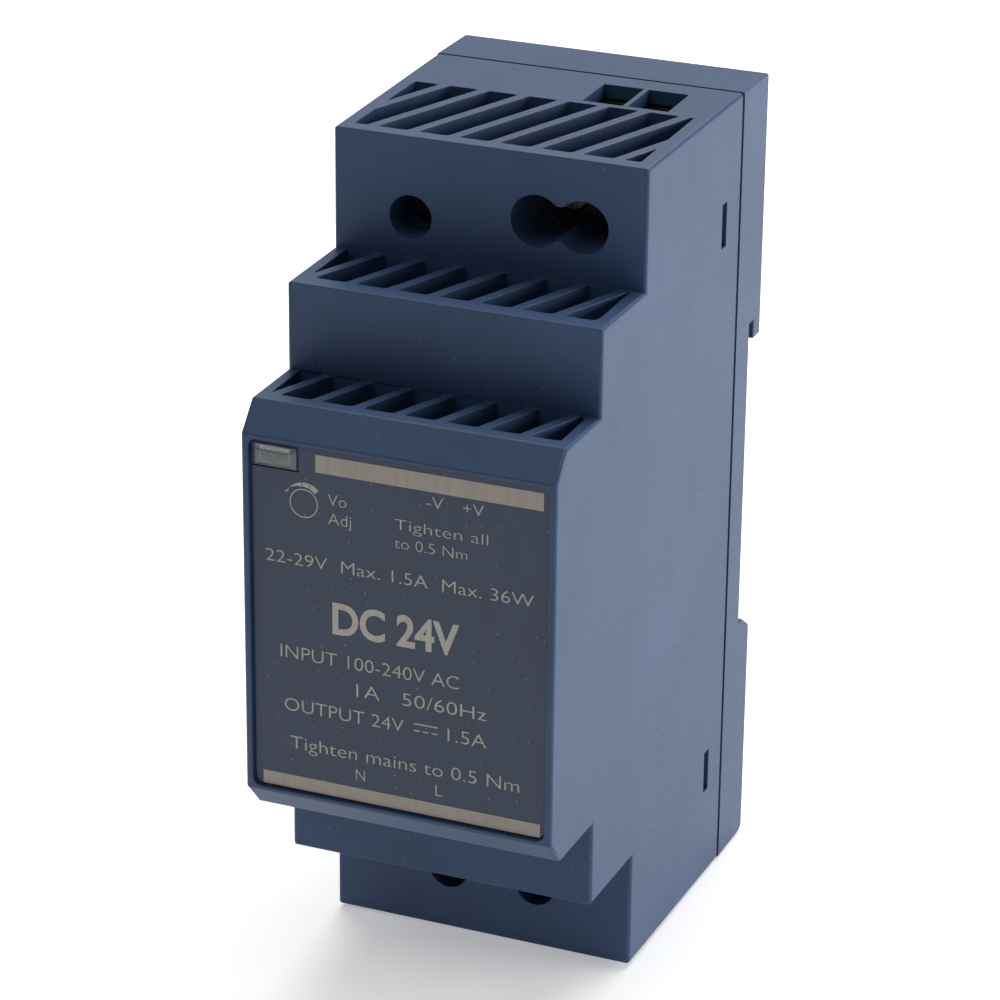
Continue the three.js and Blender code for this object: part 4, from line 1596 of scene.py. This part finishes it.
@dataclass
class FrontLabel:
    """Film in the recess of the front face, with its print standing a hair proud of it."""

    face: float = -28.5
    back: float = -28.3
    half_x: float = 15.95
    low: float = 25.95
    high: float = 64.05
    ink: float = 0.03
    sunk: float = 0.01
    ring_steps: int = 48
    thinning: float = 0.022
    lines: tuple[Lettering, ...] = (
        Lettering("Vo", -7.6, -5.6, 58.2, 1.3),
        Lettering("Adj", -7.6, -5.1, 56.2, 1.3),
        Lettering("-V", 3.0, 4.8, 59.8, 1.3),
        Lettering("+V", 6.9, 9.1, 59.8, 1.3),
        Lettering("Tighten all", -0.4, 9.6, 56.9, 1.2),
        Lettering("to 0.5 Nm", -0.4, 7.4, 54.9, 1.2),
        Lettering("22-29V  Max. 1.5A  Max. 36W", -14.5, 14.5, 51.1, 1.4),
        Lettering("DC 24V", -7.2, 6.6, 44.4, 3.4, 0.16),
        Lettering("INPUT 100-240V AC", -13.0, 6.6, 40.7, 1.5),
        Lettering("1A   50/60Hz", -4.6, 9.6, 37.8, 1.5),
        Lettering("OUTPUT 24V", -12.6, 0.6, 34.8, 1.5),
        Lettering("1.5A", 5.4, 9.6, 34.8, 1.5),
        Lettering("Tighten mains to 0.5 Nm", -12.0, 13.2, 30.6, 1.5),
        Lettering("N", -4.7, -3.7, 28.4, 1.3),
        Lettering("L", 4.1, 4.9, 28.4, 1.3),
    )

    def build(self) -> list[bpy.types.Object]:
        """Model the film and all its print.

        Returns:
            The film, the silver bars and the lettering.
        """
        film = add_block("label_film", (-self.half_x, self.face, self.low), (self.half_x, self.back, self.high))
        round_edges(film, 0.75, lambda e: span_of(e).y > 0.1, 5)
        round_edges(film, 0.05, lambda e: place_of(e).y < self.face + 0.01, 2)
        lens = add_block("lens", (-16.0, self.face - 1, 61.15), (-10.8, self.back + 1, 63.85))
        combine(film, lens, Combine.CUT)
        smooth(film)
        made = [fit_in(film, LABEL_FILM, "label_film", stands_for=["front_label"])]
        bars = merge(
            [
                self._printed_bar(-8.95, 15.4, 61.5, 63.4),
                self._printed_bar(-15.1, 15.5, 26.0, 27.5),
            ],
            "label_silver_bars",
        )
        made.append(fit_in(bars, SILVER_PRINT, "label_film"))
        letters = merge([self._written(line) for line in self.lines] + self._signs(), "label_lettering")
        made.append(fit_in(letters, PALE_PRINT, "label_film"))
        return made

    def _printed_bar(self, left: float, right: float, low: float, high: float) -> bpy.types.Object:
        """One bar of silver print.

        Args:
            left: Its left end.
            right: Its right end.
            low: Its lower edge.
            high: Its upper edge.

        Returns:
            The bar.
        """
        bar = add_block("bar", (left, self.face - self.ink, low), (right, self.face + self.sunk, high))
        round_edges(bar, 0.012, lambda e: place_of(e).y < self.face - self.ink + 0.005, 1)
        return bar

    def _written(self, line: Lettering) -> bpy.types.Object:
        """Lettering as a thin solid on the film.

        Args:
            line: What is written and where.

        Returns:
            The letters as one mesh.
        """
        bpy.ops.object.text_add()
        text = bpy.context.active_object
        text.data.body = line.words
        text.data.size = line.tall * MM / 0.72
        text.data.resolution_u = 4
        text.data.extrude = self.ink * MM / 2
        text.data.offset = (line.bold - self.thinning) * MM
        bpy.ops.object.convert(target="MESH")
        mesh = bpy.context.active_object
        wide = [v.co.x for v in mesh.data.vertices]
        factor = (line.right - line.left) * MM / (max(wide) - min(wide))
        stand = Matrix.Rotation(math.pi / 2, 4, "X") @ Matrix.Diagonal((factor, 1, 1, 1))
        mesh.data.transform(stand)
        left = min(v.co.x for v in mesh.data.vertices)
        place = (line.left * MM - left, (self.face - self.ink / 2) * MM, line.base * MM)
        mesh.data.transform(Matrix.Translation(place))
        return mesh

    def _signs(self) -> list[bpy.types.Object]:
        """The round trimmer mark, its growing arc, and the direct-current sign.

        Returns:
            The signs as meshes.
        """
        middle = (-10.25, 57.95)
        arcs = (
            Arc(1.44, 1.56),
            Arc(1.72, 2.3, 0.78, 1.22, 0.05),
            Arc(1.74, 2.27, 1.26, 1.64, 0.1),
            Arc(1.78, 2.24, 1.68, 2.7, 0.75),
        )
        made = [self._ring(middle, arc) for arc in arcs]
        made.append(self._printed_bar(1.7, 4.3, 35.95, 36.1))
        for left in (1.7, 2.67, 3.64):
            made.append(self._printed_bar(left, left + 0.66, 35.2, 35.35))
        return made

    def _ring(self, centre: tuple[float, float], arc: Arc) -> bpy.types.Object:
        """Print an arc or a whole ring, spun from its section and then narrowed step by step.

        Args:
            centre: Its middle, across and up.
            arc: Its radii, its ends and how it thins.

        Returns:
            The ring as a mesh.
        """
        across, up = centre
        axle = (across, 0, up)
        low = (across + arc.inner, self.face - self.ink, up - 1)
        ring = add_block("ring", low, (across + arc.outer, self.face + self.sunk, up))
        with editing(ring):
            pick(ring, Element.FACE, lambda f: f.normal.z < 0.9)
            bpy.ops.mesh.delete(type="FACE")
            bpy.ops.mesh.select_all(action="SELECT")
            bpy.ops.transform.rotate(value=arc.start, orient_axis="Y", center_override=metres(axle))
            if arc.is_whole():
                bpy.ops.mesh.delete(type="ONLY_FACE")
                bpy.ops.mesh.select_all(action="SELECT")
            turn = arc.end - arc.start
            bpy.ops.mesh.spin(steps=self.ring_steps, angle=turn, center=metres(axle), axis=(0, 1, 0))
            bpy.ops.mesh.select_all(action="SELECT")
            bpy.ops.mesh.remove_doubles(threshold=0.0005 * MM)
            bpy.ops.mesh.normals_make_consistent(inside=False)
            for k in range(self.ring_steps + 1 if arc.thinning else 0):
                for radius, factor, angle in arc.narrowing(k / self.ring_steps):
                    spot = Vector((across + radius * math.cos(angle), up + radius * math.sin(angle)))
                    pick(ring, Element.VERT, lambda v: (place_of(v).xz - spot).length < 0.004)
                    stretch((factor, 1, factor), axle)
        return ring


@dataclass
class SignalLamp:
    """Clear window block in the corner of the label, with its stem and the lamp behind it."""

    x: float = -13.4
    z: float = 62.5
    front: float = -29.0
    floor: float = -28.3
    rear: float = -25.45
    half: tuple[float, float] = (2.4, 1.2)
    head_half: tuple[float, float] = (1.85, 0.66)
    stem_half: tuple[float, float] = (1.5, 0.7)
    slope: float = 0.42

    def build(self) -> bpy.types.Object:
        """Model the light pipe: bevelled head and a stem back to the lamp.

        Returns:
            The light pipe.
        """
        head = self._block("light_pipe", self.half, self.front + self.slope, self.floor)
        with editing(head):
            pick(head, Element.FACE, lambda f: f.normal.y < -0.9)
            extrude((0, -self.slope, 0))
            across, up = (end / start for end, start in zip(self.head_half, self.half))
            stretch((across, 1, up), (self.x, 0, self.z))
        round_edges(head, 0.12, lambda e: place_of(e).y < self.floor - 0.01, 3)
        combine(head, self._block("stem", self.stem_half, self.floor - 0.1, self.rear), Combine.JOIN)
        smooth(head)
        return fit_in(head, CLEAR, "clear_lens", stands_for=["led_light_pipe"])

    def _block(self, name: str, half: tuple[float, float], front: float, rear: float) -> bpy.types.Object:
        """A block about the lamp's axis.

        Args:
            name: The object's name.
            half: Half its width and half its height.
            front: Where it starts.
            rear: Where it ends.

        Returns:
            The block.
        """
        across, up = half
        return add_block(name, (self.x - across, front, self.z - up), (self.x + across, rear, self.z + up))


# ------------------------------------------------------------------------------------------------
# Terminals
# ------------------------------------------------------------------------------------------------


@dataclass(frozen=True)
class Pole:
    """One terminal: its name, its place across and its height."""

    name: str
    x: float
    z: float


@dataclass
class Terminals:
    """Screw clamps of the four poles with their two blocks."""

    poles: tuple[Pole, ...] = (
        Pole("negative", 5.15, 82.6),
        Pole("positive", 10.15, 82.6),
        Pole("neutral", -4.0, 7.4),
        Pole("line", 6.1, 7.4),
    )
    head_radius: float = 1.9
    head_front: float = 3.7
    head_rear: float = 5.6
    thread_radius: float = 1.2
    thread_end: float = 12.5
    pitch: float = 0.5

    def build(self) -> None:
        """Model the screws and dress the clamps, contacts and blocks."""
        for name in ("output_terminal_block", "input_terminal_block"):
            block = rounded_twin(name, 0.15)
            fit_in(block, TERMINAL, "terminal_plastic", stands_for=[name])
        pattern = self._screw()
        for pole in self.poles:
            screw = copy_of(pattern, f"{pole.name}_screw_turned", (pole.x, 0, pole.z))
            fit_in(screw, ZINC_STEEL, "zinc_steel", f"{pole.name}_screw", [f"{pole.name}_screw"])
            cage = rounded_twin(f"{pole.name}_clamp_cage", 0.18)
            fit_in(cage, PLATED_BRASS, "plated_brass", f"{pole.name}_cage", [f"{pole.name}_clamp_cage"])
            contact = rounded_twin(f"{pole.name}_contact", 0.1)
            fit_in(contact, TINNED, "tinned_copper", stands_for=[f"{pole.name}_contact"])
        bpy.data.objects.remove(pattern, do_unlink=True)

    def _screw(self) -> bpy.types.Object:
        """A combination-drive terminal screw on the Y axis, its thread cut as fine rings.

        Returns:
            The screw at the origin's axis.
        """
        screw = add_rod("screw", (0, self.head_front, 0), self.head_rear - self.head_front, self.head_radius, "Y", 40)
        with editing(screw):
            pick(screw, Element.FACE, lambda f: f.normal.y > 0.9)
            bpy.ops.mesh.inset(thickness=(self.head_radius - self.thread_radius + 0.12) * MM, depth=0)
            crest, root = self.thread_radius, self.thread_radius - 0.22
            depth = self.head_rear
            radius = crest - 0.12
            while depth < self.thread_end - self.pitch:
                for target, step in ((root, self.pitch * 0.5), (crest, self.pitch * 0.5)):
                    extrude((0, step, 0))
                    stretch((target / radius, 1, target / radius), (0, 0, 0))
                    radius = target
                    depth += step
            extrude((0, 0.3, 0))
            stretch((0.7, 1, 0.7), (0, 0, 0))
        round_edges(
            screw,
            0.22,
            lambda e: place_of(e).y < self.head_front + 0.01
            or (abs(place_of(e).y - self.head_rear) < 0.01 and Vector((place_of(e).x, place_of(e).z)).length > 1.8),
            3,
        )
        slot = add_block("slot", (-3, self.head_front - 1, -0.3), (3, self.head_front + 0.9, 0.3))
        combine(screw, slot, Combine.CUT)
        cross = add_block("cross", (-0.3, self.head_front - 1, -1.15), (0.3, self.head_front + 1.0, 1.15))
        combine(screw, cross, Combine.CUT)
        smooth(screw)
        return screw


# ------------------------------------------------------------------------------------------------
# Boards and components
# ------------------------------------------------------------------------------------------------


@dataclass
class Electronics:
    """Everything on the boards; each piece keeps its CAD place and gets broken edges and its finish."""

    edge: float = 0.2
    finishes: dict[str, tuple[Finish, str]] = field(
        default_factory=lambda: {
            "main_board": (BOARD, "board_laminate"),
            "control_board": (BOARD, "board_laminate"),
            "board_header": (BLACK_EPOXY, "black_plastic"),
            "control_chip": (BLACK_EPOXY, "black_plastic"),
            "led": (LAMP, "lamp_plastic"),
            # The trimmer housing's colour carries painted shade from the depth of its hole
            "voltage_trimmer": (TRIMMER_BLUE, "trimmer_plastic"),
            "fuse": (BLACK_EPOXY, "black_plastic"),
            "varistor": (DIP_BLUE, "blue_coating"),
            "thermistor": (DIP_BLACK, "black_coating"),
            "x_capacitor": (CASE_YELLOW, "yellow_plastic"),
            "choke_core": (FERRITE, "ferrite"),
            "choke_winding_left": (COPPER, "copper_wire"),
            "choke_winding_right": (COPPER, "copper_wire"),
            "bridge_rectifier": (BLACK_EPOXY, "black_plastic"),
            "bulk_capacitor": (SLEEVE, "capacitor_sleeve"),
            "switching_transistor": (BLACK_EPOXY, "black_plastic"),
            "primary_heatsink": (ALUMINIUM, "heatsink_aluminium"),
            "transformer_core_front": (FERRITE, "ferrite"),
            "transformer_core_rear": (FERRITE, "ferrite"),
            "transformer_bobbin": (BLACK_EPOXY, "black_plastic"),
            "transformer_winding": (TAPE, "winding_tape"),
            "output_capacitor_left": (SLEEVE, "capacitor_sleeve"),
            "output_capacitor_right": (SLEEVE, "capacitor_sleeve"),
            "optocoupler": (WHITE_EPOXY, "white_plastic"),
            "y_capacitor": (DIP_BLUE, "blue_coating"),
            "output_rectifier": (BLACK_EPOXY, "black_plastic"),
            "secondary_heatsink": (ALUMINIUM, "heatsink_aluminium"),
            "output_choke_core": (FERRITE, "ferrite"),
            "output_choke_winding": (COPPER, "copper_wire"),
        }
    )

    def build(self) -> None:
        """Round and dress every component."""
        for node, (finish, slot) in self.finishes.items():
            fit_in(rounded_twin(node, self.edge), finish, slot, stands_for=[node])
        # The rotor's near black colour is painted shade from the depth of its hole
        rotor = rounded_twin("trimmer_rotor", 0.08)
        fit_in(rotor, ROTOR, "rotor_plastic", Body.TRIMMER_ROTOR.value, ["trimmer_rotor"])


# ------------------------------------------------------------------------------------------------
# Studio
# ------------------------------------------------------------------------------------------------


@dataclass
class Lamp:
    """A soft rectangular light: where it stands, where it looks, how large and how strong it is."""

    name: str
    place: tuple[float, float, float]
    target: tuple[float, float, float]
    width: float
    height: float
    watts: float
    colour: str = "#FFFFFF"

    def build(self) -> bpy.types.Object:
        """Set up the light.

        Returns:
            The light object.
        """
        data = bpy.data.lights.new(self.name, "AREA")
        data.shape = "RECTANGLE"
        data.size = self.width * MM
        data.size_y = self.height * MM
        data.energy = self.watts
        data.color = linear(self.colour)[:3]
        lamp = bpy.data.objects.new(self.name, data)
        bpy.context.scene.collection.objects.link(lamp)
        lamp.location = metres(self.place)
        aim = metres(self.target) - metres(self.place)
        lamp.rotation_euler = aim.to_track_quat("-Z", "Y").to_euler()
        return lamp


@dataclass
class Studio:
    """Pale floor, soft lights and the camera."""

    azimuth: float = 22.34
    elevation: float = 22.94
    roll: float = 0.63
    distance: float = 421.4
    aim_right: float = -0.82
    aim_up: float = 3.72
    centre: tuple[float, float, float] = (0.0, 0.0, 45.0)
    lens: float = 143.56
    lamps: tuple[Lamp, ...] = (
        Lamp("side_softbox", (700, 270, 170), (0, 0, 45), 500, 320, 4.4),
        Lamp("overhead_softbox", (0, 340, 650), (0, 40, 60), 700, 560, 5.7),
        Lamp("rear_panel", (-260, 640, 300), (0, 0, 60), 640, 360, 0.3),
        Lamp("front_fill", (-300, -400, 700), (0, 0, 60), 700, 450, 1.4),
    )

    def build(self) -> None:
        """Lay the floor, set up the lights and the camera."""
        self._floor()
        for lamp in self.lamps:
            lamp.build()
        world = bpy.data.worlds.new("studio_air")
        bpy.context.scene.world = world
        world.use_nodes = True
        world.node_tree.nodes.clear()
        sky = add_node(world.node_tree, "ShaderNodeBackground", {"Color": linear("#F2F5FA"), "Strength": 0.12})
        add_node(world.node_tree, "ShaderNodeOutputWorld", {"Surface": sky.outputs["Background"]})
        bpy.context.scene.view_settings.view_transform = "Standard"
        self._camera()

    def _floor(self) -> None:
        """A wide pale floor."""
        bpy.ops.mesh.primitive_plane_add(size=40.0, location=(0, 0, -0.0002))
        floor = bpy.context.active_object
        floor.name = "studio_floor"
        dress(floor, FLOOR)

    def _camera(self) -> None:
        """The camera, on the view that shows the front, the top and the right side."""
        turn, tilt, roll = (math.radians(a) for a in (self.azimuth, self.elevation, self.roll))
        back = Vector((math.sin(turn) * math.cos(tilt), -math.cos(turn) * math.cos(tilt), math.sin(tilt)))
        level = Vector((0, 0, 1)).cross(back).normalized()
        upright = back.cross(level)
        right = math.cos(roll) * level + math.sin(roll) * upright
        up = math.cos(roll) * upright - math.sin(roll) * level
        place = Vector(self.centre) + self.distance * back + self.aim_right * right + self.aim_up * up
        data = bpy.data.cameras.new("camera")
        data.lens = self.lens
        data.sensor_width = 36.0
        data.clip_start = 0.01
        camera = bpy.data.objects.new("camera", data)
        bpy.context.scene.collection.objects.link(camera)
        turn_matrix = Matrix((right, up, back)).transposed().to_4x4()
        camera.matrix_world = Matrix.Translation(metres(place)) @ turn_matrix
        bpy.context.scene.camera = camera


def main() -> None:
    """Build every sub-assembly in order."""
    logging.basicConfig(level=logging.INFO, format="%(name)s: %(message)s")
    Studio().build()
    FrontHousing().build()
    RearCover().build()
    latch = RailLatch()
    latch.build()
    latch.build_spring()
    FrontLabel().build()
    SignalLamp().build()
    Terminals().build()
    Electronics().build()


if __name__ == "__main__":
    main()
